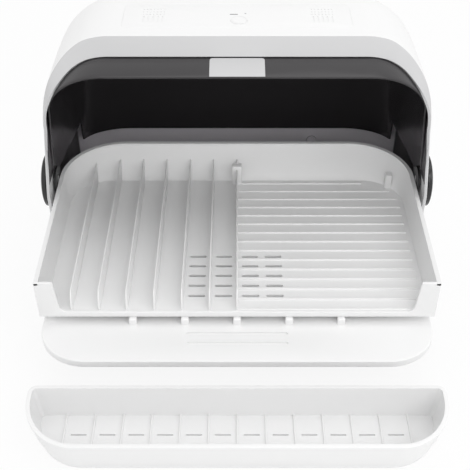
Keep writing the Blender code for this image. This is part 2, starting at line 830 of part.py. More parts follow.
def liner_profile(offset):
    """Side view of the reflector: up the back, round the corner, forward under the roof."""
    radius = LINER_RADIUS + offset
    corner = arc(
        LINER_BACK - LINER_RADIUS, LINER_CEILING - LINER_RADIUS, radius, radius, 0, pi / 2, LINER_STEPS
    )
    back = LINER_BACK + offset
    top = LINER_CEILING + offset
    return [(back, LINER_LOW)] + corner + [(LINER_FRONT, top)]


def reflector_liner():
    outline = liner_profile(0) + list(reversed(liner_profile(LINER_THICKNESS)))
    liner = prism("reflector_liner", outline, -LINER_HALF_WIDTH, LINER_HALF_WIDTH, "x")
    finish(liner, GREY, 0.4)


def lamp_axis(angle):
    return PIVOT_Y + LAMP_ORBIT * cos(angle), PIVOT_Z + LAMP_ORBIT * sin(angle)


def uv_lamps():
    """Two tubes with end caps and pins, outside the path of the hood."""
    for name, angle in zip(("uv_lamp_rear", "uv_lamp_front"), LAMP_ANGLES):
        y, z = lamp_axis(angle)
        tube = cylinder(
            name, LAMP_RADIUS - GAP * 2, (-LAMP_HALF_LENGTH, y, z), (LAMP_HALF_LENGTH, y, z)
        )
        for side in (1, -1):
            inner = side * (LAMP_HALF_LENGTH - LAMP_CAP_LENGTH)
            outer = side * (LAMP_HALF_LENGTH + GAP)
            join(tube, cylinder("cap", LAMP_RADIUS, (inner, y, z), (outer, y, z)))
            pin_end = side * (LAMP_HALF_LENGTH + LAMP_PIN_LENGTH)
            join(tube, cylinder("pin", LAMP_PIN_RADIUS, (inner, y, z), (pin_end, y, z), SMALL_STEPS))
        finish(tube, GLASS, 0.1)


def lamp_holders():
    """End plates that carry both tubes and seat on the reflector's corner."""
    inner_radius = LAMP_ORBIT - LAMP_RADIUS + HOLDER_MARGIN / 2
    first, last = LAMP_ANGLES
    low_angle = first - HOLDER_SPREAD
    high_angle = last + HOLDER_SPREAD
    near = arc(PIVOT_Y, PIVOT_Z, inner_radius, inner_radius, low_angle, high_angle)
    centre_y = LINER_BACK - LINER_RADIUS
    centre_z = LINER_CEILING - LINER_RADIUS
    seat = LINER_RADIUS - GAP
    low_y, low_z = near[0]
    high_y, high_z = near[-1]
    far = arc(
        centre_y,
        centre_z,
        seat,
        seat,
        atan2(high_z - centre_z, high_y - centre_y),
        atan2(low_z - centre_z, low_y - centre_y),
    )
    for name, side in (("lamp_holder_right", 1), ("lamp_holder_left", -1)):
        start = side * (LAMP_HALF_LENGTH + 3 * GAP)
        end = start + side * HOLDER_THICKNESS
        holder = prism(name, near + far, min(start, end), max(start, end), "x")
        for angle in LAMP_ANGLES:
            y, z = lamp_axis(angle)
            socket_end = start + side * (LAMP_PIN_LENGTH + GAP)
            hole = cylinder(
                "socket",
                LAMP_PIN_RADIUS + GAP,
                (start - side * OVERRUN, y, z),
                (socket_end, y, z),
                SMALL_STEPS,
            )
            cut(holder, hole)
        finish(holder, SOFT_WHITE, 0.45)


def small_electronics():
    floor = LINER_CEILING + LINER_THICKNESS + GAP
    for name, size, place, colour in (
        ("lamp_driver", DRIVER_SIZE, DRIVER_PLACE, RUBBER),
        ("hood_switch", SWITCH_SIZE, SWITCH_PLACE, BLACK),
    ):
        width, length, height = size
        x, y = place
        block = box(
            name,
            (x - width / 2, y - length / 2, floor),
            (x + width / 2, y + length / 2, floor + height),
        )
        finish(block, colour, 0.5)


def dc_inlet():
    """The low-voltage socket in the back wall; its lead is not part of the model."""
    inner = HOUSING_BACK - ROOF_WALL - INLET_DEPTH
    socket = cylinder(
        "dc_inlet", INLET_RADIUS, (INLET_X, inner, INLET_Z), (INLET_X, HOUSING_BACK - GAP, INLET_Z)
    )
    flange = cylinder(
        "flange",
        INLET_FLANGE_RADIUS,
        (INLET_X, HOUSING_BACK - INLET_FLANGE, INLET_Z),
        (INLET_X, HOUSING_BACK, INLET_Z),
    )
    join(socket, flange)
    bore = cylinder(
        "bore",
        INLET_BORE,
        (INLET_X, inner + ROOF_WALL, INLET_Z),
        (INLET_X, HOUSING_BACK + OVERRUN, INLET_Z),
    )
    cut(socket, bore)
    finish(socket, BLACK, 0.4)


# Base, rails and feet

def pan_plan():
    """Floor plan: narrow in front under the drawer, wide between the housing's walls."""
    wide = HOUSING_HALF_WIDTH - FRONT_SIDE_WALL - PAN_MARGIN
    back = HOUSING_BACK - ROOF_WALL - PAN_MARGIN
    front = arc(
        PAN_FRONT_HALF_WIDTH - PAN_CORNER, PAN_FRONT + PAN_CORNER, PAN_CORNER, PAN_CORNER, -pi / 2, 0
    )
    rear = []
    start = HOUSING_BACK - REAR_SIDE_DEPTH
    for step in range(CORNER_STEPS + 1):
        depth = start + (back - start) * sin(pi / 2 * step / CORNER_STEPS)
        rear.append((wide - rear_inset(depth, REAR_SIDE_DEPTH, REAR_SIDE_INSET, ROOF_WALL), depth))
    step_points = [(PAN_FRONT_HALF_WIDTH, PAN_STEP), (wide, PAN_STEP)]
    return mirrored(front + step_points + rear)


def base_pan():
    low = HOUSING_LOW + GAP
    pan = prism("base_pan", pan_plan(), low, low + PAN_PLATE)
    wall_plan = front_rounded(
        PAN_FRONT_HALF_WIDTH, PAN_FRONT, PAN_STEP, PAN_CORNER, PAN_CORNER, PAN_WALL
    )
    wall = prism("wall", wall_plan, low, PAN_WALL_HEIGHT)
    inside_plan = front_rounded(
        PAN_FRONT_HALF_WIDTH - PAN_WALL,
        PAN_FRONT + PAN_WALL,
        PAN_STEP + OVERRUN,
        PAN_CORNER - PAN_WALL,
        PAN_CORNER - PAN_WALL,
        PAN_WALL,
    )
    inside = prism("inside", inside_plan, low - OVERRUN, PAN_WALL_HEIGHT + OVERRUN)
    cut(wall, inside)
    join(pan, wall)
    for x, depth in screw_places():
        start = (x, depth, low - OVERRUN)
        end = (x, depth, low + OVERRUN)
        cut(pan, cylinder("screw_hole", SCREW_RADIUS + GAP, start, end, SMALL_STEPS))
    finish(pan, WHITE, 0.4)


def screw_places():
    """Plan places of the screws that come up through the floor: rails first, then bosses."""
    places = []
    for side in (1, -1):
        places += [(side * RAIL_X, depth) for depth in RAIL_SCREW_PLACES]
        places += [(side * BOSS_X, depth) for depth in BOSS_PLACES]
    return places


def slide_rails():
    floor = HOUSING_LOW + 2 * GAP + PAN_PLATE
    top = BASE_SHELF_LOW - GAP
    for name, side in (("slide_rail_right", 1), ("slide_rail_left", -1)):
        x = side * RAIL_X
        rail = box(
            name, (x - RAIL_WIDTH / 2, RAIL_START, floor), (x + RAIL_WIDTH / 2, RAIL_END, top)
        )
        for depth in RAIL_SCREW_PLACES:
            end = floor + SCREW_LENGTH
            hole = cylinder(
                "bore", SCREW_RADIUS + GAP, (x, depth, floor - OVERRUN), (x, depth, end), SMALL_STEPS
            )
            cut(rail, hole)
        finish(rail, SOFT_WHITE, 0.4)


def floor_screws():
    low = HOUSING_LOW
    for number, (x, depth) in enumerate(screw_places(), 1):
        screw = cylinder(
            f"floor_screw_{number}",
            SCREW_RADIUS,
            (x, depth, low - GAP),
            (x, depth, low + PAN_PLATE + SCREW_LENGTH - GAP * 4),
            SMALL_STEPS,
        )
        head = cylinder(
            "head", SCREW_HEAD_RADIUS, (x, depth, low - SCREW_HEAD_HEIGHT), (x, depth, low), SMALL_STEPS
        )
        finish(join(screw, head), STEEL, 0.35, 1.0)


def rubber_feet():
    places = [
        (side * (HOUSING_HALF_WIDTH - inset), depth)
        for side in (1, -1)
        for inset, depth in FOOT_PLACES
    ]
    for number, (x, depth) in enumerate(places, 1):
        foot = cylinder(f"rubber_foot_{number}", FOOT_RADIUS, (x, depth, 0), (x, depth, HOUSING_LOW))
        finish(foot, RUBBER, 0.8)


# Hood and its pivot

def hood_profile():
    """Half of the hood's front view as (x, radius): cone of the cheek, then the round corner."""
    cheek = [(HUB_OUTER, HUB_RADIUS + GAP), (HUB_OUTER, HUB_RADIUS * HUB_REACH_SHARE)]
    corner = arc(
        HOOD_HALF_WIDTH - HOOD_CORNER_WIDTH,
        HOOD_RADIUS - HOOD_CORNER_HEIGHT,
        HOOD_CORNER_WIDTH,
        HOOD_CORNER_HEIGHT,
        0,
        pi / 2,
    )
    return mirrored(cheek + corner)


def on_circle(radius, angle):
    """Depth and height at an angle from the front horizontal, over the top towards the back."""
    return PIVOT_Y - radius * cos(angle), PIVOT_Z + radius * sin(angle)


def visor(axis):
    """Part of a turned shell: its profile is swept about the pivot, then thickened inwards."""
    mesh = bmesh.new()
    corners = []
    for x, radius in hood_profile():
        y, z = on_circle(radius, HOOD_OPEN_ANGLE)
        corners.append(mesh.verts.new((x, y - PIVOT_Y, z - PIVOT_Z)))
    for here, there in zip(corners, corners[1:]):
        mesh.edges.new((here, there))
    data = bpy.data.meshes.new("visor")
    mesh.to_mesh(data)
    mesh.free()
    hood = bpy.data.objects.new("visor", data)
    PARTS.objects.link(hood)
    screw = hood.modifiers.new("sweep", "SCREW")
    screw.axis = "X"
    screw.angle = -(HOOD_TRAIL_ANGLE - HOOD_OPEN_ANGLE)
    screw.steps = HOOD_STEPS
    screw.render_steps = HOOD_STEPS
    screw.merge_threshold = GAP / 10
    skin = hood.modifiers.new("wall", "SOLIDIFY")
    skin.thickness = HOOD_THICKNESS
    skin.offset = 1
    skin.use_even_offset = True
    baked(hood)
    mesh = bmesh.new()
    mesh.from_mesh(hood.data)
    face_outwards(mesh)
    mesh.transform(Matrix.Translation((0, PIVOT_Y, PIVOT_Z)))
    mesh.to_mesh(hood.data)
    mesh.free()

    for side in (1, -1):
        near = side * (HOOD_HALF_WIDTH - HOOD_CORNER_WIDTH / 4)
        far = side * (HUB_OUTER + OVERRUN)
        low = (min(near, far), PIVOT_Y - HUB_RADIUS, PIVOT_Z - HOOD_RADIUS)
        high = (max(near, far), CHEEK_FLOOR_BACK, CHEEK_FLOOR)
        cut(hood, box("tray_clearance", low, high))
    finish(hood, BLACK, 0.08, parent=axis)


def hinge_discs(axis):
    """Round plates in the cheeks' seats, on the pivot pins."""
    for name, side in (("hinge_disc_right", 1), ("hinge_disc_left", -1)):
        disc = cylinder(
            name,
            HUB_RADIUS,
            (side * (HUB_OUTER - HUB_PLATE), PIVOT_Y, PIVOT_Z),
            (side * HUB_OUTER, PIVOT_Y, PIVOT_Z),
            CAP_STEPS,
        )
        hole = cylinder(
            "hole",
            PIN_RADIUS + GAP,
            (side * (HUB_OUTER - OVERRUN), PIVOT_Y, PIVOT_Z),
            (side * (HUB_OUTER + OVERRUN), PIVOT_Y, PIVOT_Z),
        )
        finish(cut(disc, hole), BLACK, 0.3, parent=axis)


def visor_handle(axis):
    """The white tab in the middle of the hood's free edge, curved with it."""
    inner = HOOD_RADIUS + GAP
    outer = inner + HANDLE_PROUD
    start = HOOD_OPEN_ANGLE + HANDLE_START_ANGLE
    end = start + HANDLE_ANGLE
    steps = DOME_STEPS
    outline = []
    for radius, sweep in ((inner, 1), (outer, -1)):
        angles = [start + (end - start) * step / steps for step in range(steps + 1)]
        outline += [on_circle(radius, angle) for angle in angles[::sweep]]
    tab = prism("visor_handle", outline, -HANDLE_WIDTH / 2, HANDLE_WIDTH / 2, "x")
    finish(tab, WHITE, 0.3, parent=axis)


def pivots(axis):
    """Pin, washer and domed cap on each side; pins and caps turn with the hood."""
    for word, side in (("right", 1), ("left", -1)):
        washer_in = EAR_OUTER + GAP
        washer_out = washer_in + WASHER_THICKNESS
        cap_in = washer_out + GAP
        pin = cylinder(
            "pivot_pin_" + word,
            PIN_RADIUS,
            (side * (HUB_OUTER - HUB_PLATE), PIVOT_Y, PIVOT_Z),
            (side * (cap_in + CAP_SOCKET_DEPTH - GAP), PIVOT_Y, PIVOT_Z),
        )
        finish(pin, STEEL, 0.3, 1.0, parent=axis)
        washer = cylinder(
            "pivot_washer_" + word,
            WASHER_RADIUS,
            (side * washer_in, PIVOT_Y, PIVOT_Z),
            (side * washer_out, PIVOT_Y, PIVOT_Z),
        )
        hole = cylinder(
            "hole",
            PIN_RADIUS + GAP,
            (side * (washer_in - OVERRUN), PIVOT_Y, PIVOT_Z),
            (side * (washer_out + OVERRUN), PIVOT_Y, PIVOT_Z),
        )
        finish(cut(washer, hole), SOFT_WHITE, 0.5)
        finish(pivot_cap("pivot_cap_" + word, side, cap_in), BLACK, 0.12, parent=axis)


def pivot_cap(name, side, inner):
    """A turned dome, hollow for the pin: its half section is swept about the pivot."""
    rim = inner + CAP_RIM
    dome = arc(rim, 0, CAP_DOME, CAP_RADIUS, pi / 2, 0, DOME_STEPS)
    socket = PIN_RADIUS + GAP
    section = [(inner + CAP_SOCKET_DEPTH, 0), (inner + CAP_SOCKET_DEPTH, socket), (inner, socket)]
    section += [(inner, CAP_RADIUS)] + dome
    mesh = bmesh.new()
    corners = [mesh.verts.new((side * x, radius, 0)) for x, radius in section]
    for here, there in zip(corners, corners[1:]):
        mesh.edges.new((here, there))
    data = bpy.data.meshes.new(name)
    mesh.to_mesh(data)
    mesh.free()
    cap = bpy.data.objects.new(name, data)
    PARTS.objects.link(cap)
    screw = cap.modifiers.new("turn", "SCREW")
    screw.axis = "X"
    screw.steps = CAP_STEPS
    screw.render_steps = CAP_STEPS
    screw.use_merge_vertices = True
    screw.merge_threshold = GAP / 10
    baked(cap)
    mesh = bmesh.new()
    mesh.from_mesh(cap.data)
    bmesh.ops.remove_doubles(mesh, verts=mesh.verts, dist=GAP / 10)
    face_outwards(mesh)
    mesh.transform(Matrix.Translation((0, PIVOT_Y, PIVOT_Z)))
    mesh.to_mesh(cap.data)
    mesh.free()
    return cap


# Drawer: base and rack tray

def drawer_base(axis):
    plan = front_rounded(
        BASE_SHELF_HALF_WIDTH,
        BASE_SHELF_FRONT,
        BASE_SHELF_BACK,
        BASE_CORNER_WIDTH,
        BASE_CORNER_DEPTH,
        BASE_REAR_CORNER,
    )
    shelf = prism("drawer_base", plan, BASE_SHELF_LOW, BASE_SHELF_TOP)
    under_plan = front_rounded(
        BASE_SHELF_HALF_WIDTH - BASE_SHELF_WALL,
        BASE_SHELF_FRONT + BASE_SHELF_WALL,
        BASE_SHELF_BACK - BASE_SHELF_WALL,
        BASE_CORNER_WIDTH - BASE_SHELF_WALL,
        BASE_CORNER_DEPTH - BASE_SHELF_WALL,
        BASE_REAR_CORNER - BASE_SHELF_WALL,
    )
    plate_low = BASE_SHELF_TOP - BASE_SHELF_PLATE
    cut(shelf, prism("under", under_plan, BASE_SHELF_LOW - OVERRUN, plate_low))
    for depth in GROOVE_PLACES:
        cut(shelf, box(
            "groove",
            (-GROOVE_WIDTH / 2, depth - GROOVE_LENGTH / 2, BASE_SHELF_TOP - GROOVE_DEPTH),
            (GROOVE_WIDTH / 2, depth + GROOVE_LENGTH / 2, BASE_SHELF_TOP + OVERRUN),
        ))
    support_top = TRAY_FLOOR - TRAY_PLATE - GAP
    for x in (-SUPPORT_X, 0, SUPPORT_X):
        join(shelf, box(
            "support",
            (x - SUPPORT_WIDTH / 2, SUPPORT_FRONT, plate_low + GAP),
            (x + SUPPORT_WIDTH / 2, BASE_SHELF_BACK - BASE_REAR_CORNER, support_top),
        ))
    rest_top = TRAY_LOW - GAP
    for index in range(RIB_COUNT):
        x = (index - (RIB_COUNT - 1) / 2) * RIB_SPACING
        join(shelf, box(
            "rib",
            (x - RIB_WIDTH / 2, -RIB_DEPTH - GAP, plate_low + GAP),
            (x + RIB_WIDTH / 2, RIB_DEPTH, rest_top),
        ))
    return finish(shelf, WHITE, 0.35, parent=axis)


def drawer_glides(axis):
    top = BASE_SHELF_TOP - BASE_SHELF_PLATE - GAP
    places = [(side * RAIL_X, depth) for side in (1, -1) for depth in GLIDE_PLACES]
    for number, (x, depth) in enumerate(places, 1):
        glide = box(
            f"drawer_glide_{number}",
            (x - GLIDE_WIDTH / 2, depth, BASE_SHELF_LOW),
            (x + GLIDE_WIDTH / 2, depth + GLIDE_LENGTH, top),
        )
        finish(glide, SOFT_WHITE, 0.5, parent=axis)


def tray_skin(name, inset, front, low, high):
    """A solid with the rack wall's leaning shape, from below its floor to above its rim."""
    span = TRAY_TOP - TRAY_FLOOR
    rings = [raised(tray_outline(inset, front, 1.0), low)]
    for share, lean in TRAY_WALL_SHARES[1:-1]:
        rings.append(raised(tray_outline(inset, front, lean), TRAY_FLOOR + span * share))
    rings.append(raised(tray_outline(inset, front), high))
    return loft(name, rings, triangles=True)


def rack_tray(axis):
    underside = TRAY_FLOOR - TRAY_PLATE
    tray = tray_skin("rack_tray", 0, TRAY_LIP_DEPTH / 2, underside, TRAY_TOP - TRAY_RIM_HEIGHT / 2)
    rim_low = TRAY_TOP - TRAY_RIM_HEIGHT
    join(tray, prism("rim", tray_outline(0, 0), rim_low, TRAY_TOP))
    cut(
        tray,
        tray_skin("inside", TRAY_WALL, -OVERRUN, TRAY_FLOOR, rim_low + GAP),
        prism("mouth", tray_outline(TRAY_RIM_WIDTH, -OVERRUN), rim_low, TRAY_TOP + OVERRUN),
    )
    join(tray, tray_front(), *tray_fins(), *tray_stripes(), *tray_blocks())
    cut(tray, *tray_slots())
    return finish(tray, WHITE, 0.35, parent=axis)


def tray_front():
    """The U-shaped front frame: two upright flanges and the low lip between them."""
    lip_top = TRAY_FLOOR + TRAY_LIP_RISE
    inner_top = TRAY_HALF_WIDTH - TRAY_FLANGE
    inner_low = inner_top - TRAY_FLANGE_LEAN
    corner = arc(
        inner_low - TRAY_FLANGE_CORNER,
        lip_top + TRAY_FLANGE_CORNER,
        TRAY_FLANGE_CORNER,
        TRAY_FLANGE_CORNER,
        0,
        -pi / 2,
    )
    half = [(TRAY_HALF_WIDTH, TRAY_LOW), (TRAY_HALF_WIDTH, TRAY_TOP), (inner_top, TRAY_TOP)]
    return prism("front", mirrored(half + corner), 0, TRAY_LIP_DEPTH, "y")


def tray_fins():
    """Thin upright plates from front to back in the left half; the last one is the divider."""
    pieces = []
    into_wall = TRAY_WALL / 4
    low = TRAY_FLOOR - TRAY_PLATE / 2
    top = TRAY_FLOOR + FIN_HEIGHT
    for index in range(FIN_COUNT):
        x = (index - FIN_COUNT + 1) * FIN_PITCH
        slope_end = FIN_FRONT + FIN_SLOPE_RUN
        front = arc(slope_end, TRAY_FLOOR, FIN_SLOPE_RUN, FIN_HEIGHT, pi, pi / 2, FIN_SLOPE_STEPS)
        rear = [
            (tray_reach(x, tray_lean(TRAY_FLOOR + FIN_HEIGHT * share)) + into_wall,
             TRAY_FLOOR + FIN_HEIGHT * share)
            for share in FIN_REAR_SHARES
        ]
        outline = [(rear[-1][0], low), (FIN_FRONT, low)] + front + rear
        pieces.append(prism("fin", outline, x - FIN_THICKNESS / 2, x + FIN_THICKNESS / 2, "x"))
    return pieces


def tray_stripes():
    """Low ribs across the right half."""
    pieces = []
    reach_half = TRAY_HALF_WIDTH - TRAY_WALL - TRAY_SIDE_LEAN - STRIPE_SIDE_MARGIN
    radius = TRAY_CORNER - TRAY_WALL - TRAY_BACK_LEAN - STRIPE_SIDE_MARGIN
    corner_start = TRAY_DEPTH - TRAY_CORNER
    for index in range(STRIPE_COUNT):
        depth = TRAY_LIP_DEPTH + index * STRIPE_PITCH
        into_corner = max(depth + STRIPE_WIDTH - corner_start, 0)
        reach = reach_half - radius + sqrt(max(radius * radius - into_corner * into_corner, 0))
        pieces.append(box(
            "stripe",
            (0, depth, TRAY_FLOOR - TRAY_PLATE / 2),
            (reach, depth + STRIPE_WIDTH, TRAY_FLOOR + STRIPE_HEIGHT),
        ))
    return pieces


def tray_blocks():
    """The step at the divider's rear end and the short post in the right rear corner."""
    low = TRAY_FLOOR - TRAY_PLATE / 2
    width, length, height = DIVIDER_BLOCK
    rear = tray_reach(0, tray_lean(TRAY_FLOOR)) + TRAY_WALL / 4
    block = box("block", (-width / 2, rear - length, low), (width / 2, rear, TRAY_FLOOR + height))
    width, length, height = CORNER_POST
    side_inset, back_inset = CORNER_POST_INSETS
    x = TRAY_HALF_WIDTH - side_inset
    y = TRAY_DEPTH - back_inset
    post = box("post", (x, y, low), (x + width, y + length, TRAY_FLOOR + height))
    return [block, post]


def tray_slots():
    """Drain slots: two columns between fins and two on the right, between the stripes."""
    tools = []
    columns = [share * FIN_PITCH for share in SLOT_COLUMN_SHARES]
    first = TRAY_LIP_DEPTH + STRIPE_PITCH + STRIPE_WIDTH + SLOT_MARGIN + SLOT_LENGTH / 2
    for row in range(SLOT_ROWS):
        depth = first + row * STRIPE_PITCH
        for x in columns:
            tools.append(box(
                "slot",
                (x - SLOT_WIDTH / 2, depth - SLOT_LENGTH / 2, TRAY_FLOOR - OVERRUN),
                (x + SLOT_WIDTH / 2, depth + SLOT_LENGTH / 2, TRAY_FLOOR + FIN_HEIGHT / 4),
            ))
    return tools


# Cutlery box

def box_outline(inset, taper):
    """Plan of the box at one height: straight back, round front corners."""
    return front_rounded(
        BOX_HALF_WIDTH - inset - taper / 2,
        BOX_BACK - BOX_DEPTH + inset + taper,
        BOX_BACK - inset,
        BOX_CORNER_WIDTH - inset,
        BOX_CORNER_DEPTH - inset,
        BOX_REAR_CORNER - inset,
    )


def raised(outline, height):
    return [(a, b, height) for a, b in outline]


def cutlery_box(axis):
    rim_low = BOX_HEIGHT - BOX_RIM_HEIGHT
    trough = loft("cutlery_box", [
        raised(box_outline(BOX_OVERHANG, BOX_TAPER), 0),
        raised(box_outline(BOX_OVERHANG, BOX_TAPER / 4), BOX_HEIGHT / 2),
        raised(box_outline(BOX_OVERHANG, 0), BOX_HEIGHT - BOX_RIM_HEIGHT / 2),
    ], triangles=True)
    join(trough, prism("rim", box_outline(0, 0), rim_low, BOX_HEIGHT))
    wall = BOX_OVERHANG + BOX_WALL
    inside = loft("inside", [
        raised(box_outline(wall, BOX_TAPER), BOX_FLOOR),
        raised(box_outline(wall, BOX_TAPER / 4), BOX_HEIGHT / 2),
        raised(box_outline(wall, 0), rim_low),
        raised(box_outline(wall, 0), BOX_HEIGHT + OVERRUN),
    ], triangles=True)
    cut(trough, inside)
    front = BOX_BACK - BOX_DEPTH + BOX_TAPER + BOX_OVERHANG + BOX_WALL / 2
    for index in range(BOX_RIB_COUNT):
        x = (index - (BOX_RIB_COUNT - 1) / 2) * BOX_RIB_PITCH
        beyond = max(abs(x) - (BOX_HALF_WIDTH - BOX_CORNER_WIDTH), 0) / BOX_CORNER_WIDTH
        start = front + BOX_CORNER_DEPTH * (1 - sqrt(max(1 - beyond * beyond, 0)))
        start += BOX_WALL * beyond * 2
        join(trough, box(
            "rib",
            (x - BOX_RIB_WIDTH / 2, start, BOX_FLOOR / 2),
            (x + BOX_RIB_WIDTH / 2, BOX_BACK - BOX_OVERHANG - BOX_WALL / 2, BOX_FLOOR + BOX_RIB_HEIGHT),
        ))
    for bay in range(BOX_RIB_COUNT - 1):
        x = (bay - (BOX_RIB_COUNT - 2) / 2) * BOX_RIB_PITCH
        for place in BOX_SLOT_PLACES:
            depth = BOX_BACK - BOX_DEPTH + place
            cut(trough, box(
                "slot",
                (x - BOX_SLOT_WIDTH / 2, depth, -OVERRUN),
                (x + BOX_SLOT_WIDTH / 2, depth + BOX_SLOT_LENGTH, BOX_FLOOR + OVERRUN),
            ))
    return finish(trough, WHITE, 0.35, parent=axis)


def build():
    hood_axis = axis_empty("hood_axis", (0, PIVOT_Y, PIVOT_Z))
    drawer_axis = axis_empty("drawer_axis", (0, 0, BASE_SHELF_LOW))
    box_axis = axis_empty("box_axis", (0, BOX_BACK - BOX_DEPTH / 2, 0))
    housing_shell()
    control_panel()
    status_lights()
    control_board()
    power_button()
    reflector_liner()
    uv_lamps()
    lamp_holders()
    small_electronics()
    dc_inlet()
    base_pan()
    slide_rails()
    floor_screws()
    rubber_feet()
    visor(hood_axis)
    hinge_discs(hood_axis)
    visor_handle(hood_axis)
    pivots(hood_axis)
    drawer_base(drawer_axis)
    drawer_glides(drawer_axis)
    rack_tray(drawer_axis)
    cutlery_box(box_axis)


build()
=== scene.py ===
"""Looks of the steriliser cabinet: its visible mouldings in fine detail, plastics, light and camera.

Metres, in the frame of the CAD. Depths of the mouldings are counted from the rack's open front;
settle() moves each piece to its place in the frame.
"""

import json
from math import cos, pi, radians, sin, sqrt

import bmesh
import bpy
from mathutils import Matrix, Vector


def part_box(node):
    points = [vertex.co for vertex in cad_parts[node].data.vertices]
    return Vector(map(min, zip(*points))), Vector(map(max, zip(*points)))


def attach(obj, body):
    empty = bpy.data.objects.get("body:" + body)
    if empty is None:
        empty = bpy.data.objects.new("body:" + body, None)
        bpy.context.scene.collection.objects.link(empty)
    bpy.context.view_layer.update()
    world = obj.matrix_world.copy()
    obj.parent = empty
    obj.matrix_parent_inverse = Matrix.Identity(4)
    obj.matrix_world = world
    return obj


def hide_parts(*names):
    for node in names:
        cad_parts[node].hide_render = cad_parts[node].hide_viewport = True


# Clearances and steps
GAP = 0.0003
OVERRUN = 0.02
CORNER_STEPS = 24
LINE_STEPS = 4
ROUND_STEPS = 64
SMALL_STEPS = 24
SLOT_STEPS = 6
EDGE_STEPS = 3
EDGE_ANGLE = radians(40)
SHARP_ANGLE = radians(32)
MERGE_DISTANCE = GAP / 10

# Housing
HOUSING_HALF_WIDTH = 0.212
HOUSING_HEIGHT = 0.282
HOUSING_LOW = 0.004
# The wall grows outwards from its sheet, so the sheet of the roof and sides is drawn in by this much
HOUSING_WALL = 0.0026
SIDE_WALL = 0.0018
HOUSING_BACK = 0.340
REAR_TOP_DEPTH = 0.092
REAR_TOP_INSET = 0.070
REAR_SIDE_DEPTH = 0.050
REAR_SIDE_INSET = 0.030
REAR_SHOULDER_DEPTH = 0.158
REAR_SHOULDER_INSET = 0.026
REAR_LEAN_START_SHARE = 0.38
REAR_LEAN_POWER = 1.5
BAND_ROWS = 6
CREASE_RADIUS = 0.0012
CREASE_STEPS = 4
CREASE_ANGLE = radians(28)
# Material slots are white, lining, band and lining; the wall's new outer faces take the slot after their
# sheet's, so each pair changes places
BAND_SLOT = 2
OUTER_FIRST = (1, 0, 3, 2)
# Free edge of the band and crease of the roof: inset from the half width, depth, drop from the roof
LIP_LINE = (
    (0.0030, 0.1400, 0.1820),
    (0.0032, 0.1400, 0.1720),
    (0.0075, 0.1400, 0.1250),
    (0.0118, 0.1380, 0.0920),
    (0.0130, 0.1360, 0.0790),
    (0.0155, 0.1340, 0.0650),
    (0.0202, 0.1350, 0.0530),
    (0.0260, 0.1400, 0.0430),
    (0.0340, 0.1480, 0.0340),
    (0.0435, 0.1565, 0.0265),
    (0.0565, 0.1630, 0.0210),
    (0.0720, 0.1655, 0.0184),
    (0.0870, 0.1655, 0.0180),
)
CREASE_LINE = (
    (0.0000, 0.1400, 0.1820),
    (0.0002, 0.1400, 0.1720),
    (0.0050, 0.1400, 0.1250),
    (0.0085, 0.1400, 0.0920),
    (0.0096, 0.1395, 0.0780),
    (0.0115, 0.1400, 0.0640),
    (0.0142, 0.1435, 0.0490),
    (0.0190, 0.1500, 0.0350),
    (0.0265, 0.1600, 0.0235),
    (0.0370, 0.1700, 0.0135),
    (0.0520, 0.1765, 0.0045),
    (0.0700, 0.1780, 0.0005),
    (0.0870, 0.1780, 0.0000),
)

INLET_X = 0.100
INLET_Z = 0.045
INLET_RADIUS = 0.0062
INLET_FLANGE_RADIUS = 0.0085
INLET_FLANGE = 0.0012

# Hood
PIVOT_Y = 0.172
PIVOT_Z = 0.1025
HOOD_RADIUS = 0.160
HOOD_THICKNESS = 0.0020
HOOD_HALF_WIDTH = 0.196
HOOD_CORNER_WIDTH = 0.060
HOOD_CORNER_HEIGHT = 0.052
HOOD_OPEN_ANGLE = radians(75.9)
HOOD_TRAIL_ANGLE = radians(192.0)
HOOD_STEPS = 72
HOOD_EDGE_RADIUS = 0.0006
HOOD_EDGE_STEPS = 2
HOOD_EDGE_ANGLE = radians(60)
HUB_OUTER = 0.2074
HUB_RADIUS = 0.016
HUB_REACH_SHARE = 1.2
CHEEK_DEPTH = 0.015
CHEEK_FLOOR = 0.1046
CHEEK_FLOOR_BACK = 0.291
PIN_RADIUS = 0.005
EAR_RADIUS = 0.0312
EAR_INNER = 0.2092
EAR_OUTER = 0.2124
CAP_INNER = 0.2140
CAP_RADIUS = 0.030
CAP_RIM = 0.0035
CAP_DOME = 0.0045
CAP_SOCKET_DEPTH = 0.004
HANDLE_WIDTH = 0.056
HANDLE_PROUD = 0.0022
HANDLE_START_ANGLE = radians(0.3)
HANDLE_ANGLE = radians(10.4)
HANDLE_CORNER = 0.0035
HANDLE_COLUMNS = 24
HANDLE_LINES = 16
HANDLE_EDGE = 0.0009
HANDLE_EDGE_ANGLE = radians(50)
# Ends of the line on the cheeks that parts their black upper part from the lighter lower one
CHEEK_LINE = ((0.198, 0.1555), (0.3046, 0.078))
CHEEK_START = 0.150
CHEEK_EDGE = 0.0012
# Depth in front of which the lining's side walls are painted dark as painted shade
LINING_SHADE_END = 0.3125
INLET_SPLIT = 0.3370
LINING_EDGE = 0.0015

# Roof panel
PANEL_X = 0.0
PANEL_HALF_WIDTH = 0.1205
PANEL_FRONT = 0.1945
PANEL_BACK = 0.2465
PANEL_PLATE = 0.0012
PANEL_CORNER = 0.006
PANEL_EDGE = 0.00012
PANEL_SEAM = 0.00006
BUTTON_X = 0.002
BUTTON_Y = 0.211
BUTTON_RADIUS = 0.0088
BUTTON_PROUD = 0.0004
BUTTON_DEPTH = 0.0018
BUTTON_GROOVE = (0.0072, 0.0080, 0.0003)
BUTTON_MARK = (0.0010, 0.0042)
LENS_X = -0.0035
LENS_Y = 0.2248
LENS_WIDTH = 0.0088
LENS_LENGTH = 0.0014
DOT_X = 0.0089
DOT_Y = 0.2267
DOT_RADIUS = 0.0010
LENS_DEPTH = 0.0100
VENT_MIDDLE_X = 0.0008
VENT_X = 0.0894
VENT_DEPTH = 0.0006
VENT_HOLE_COLUMNS = 7
VENT_HOLE_PITCH = 0.00365
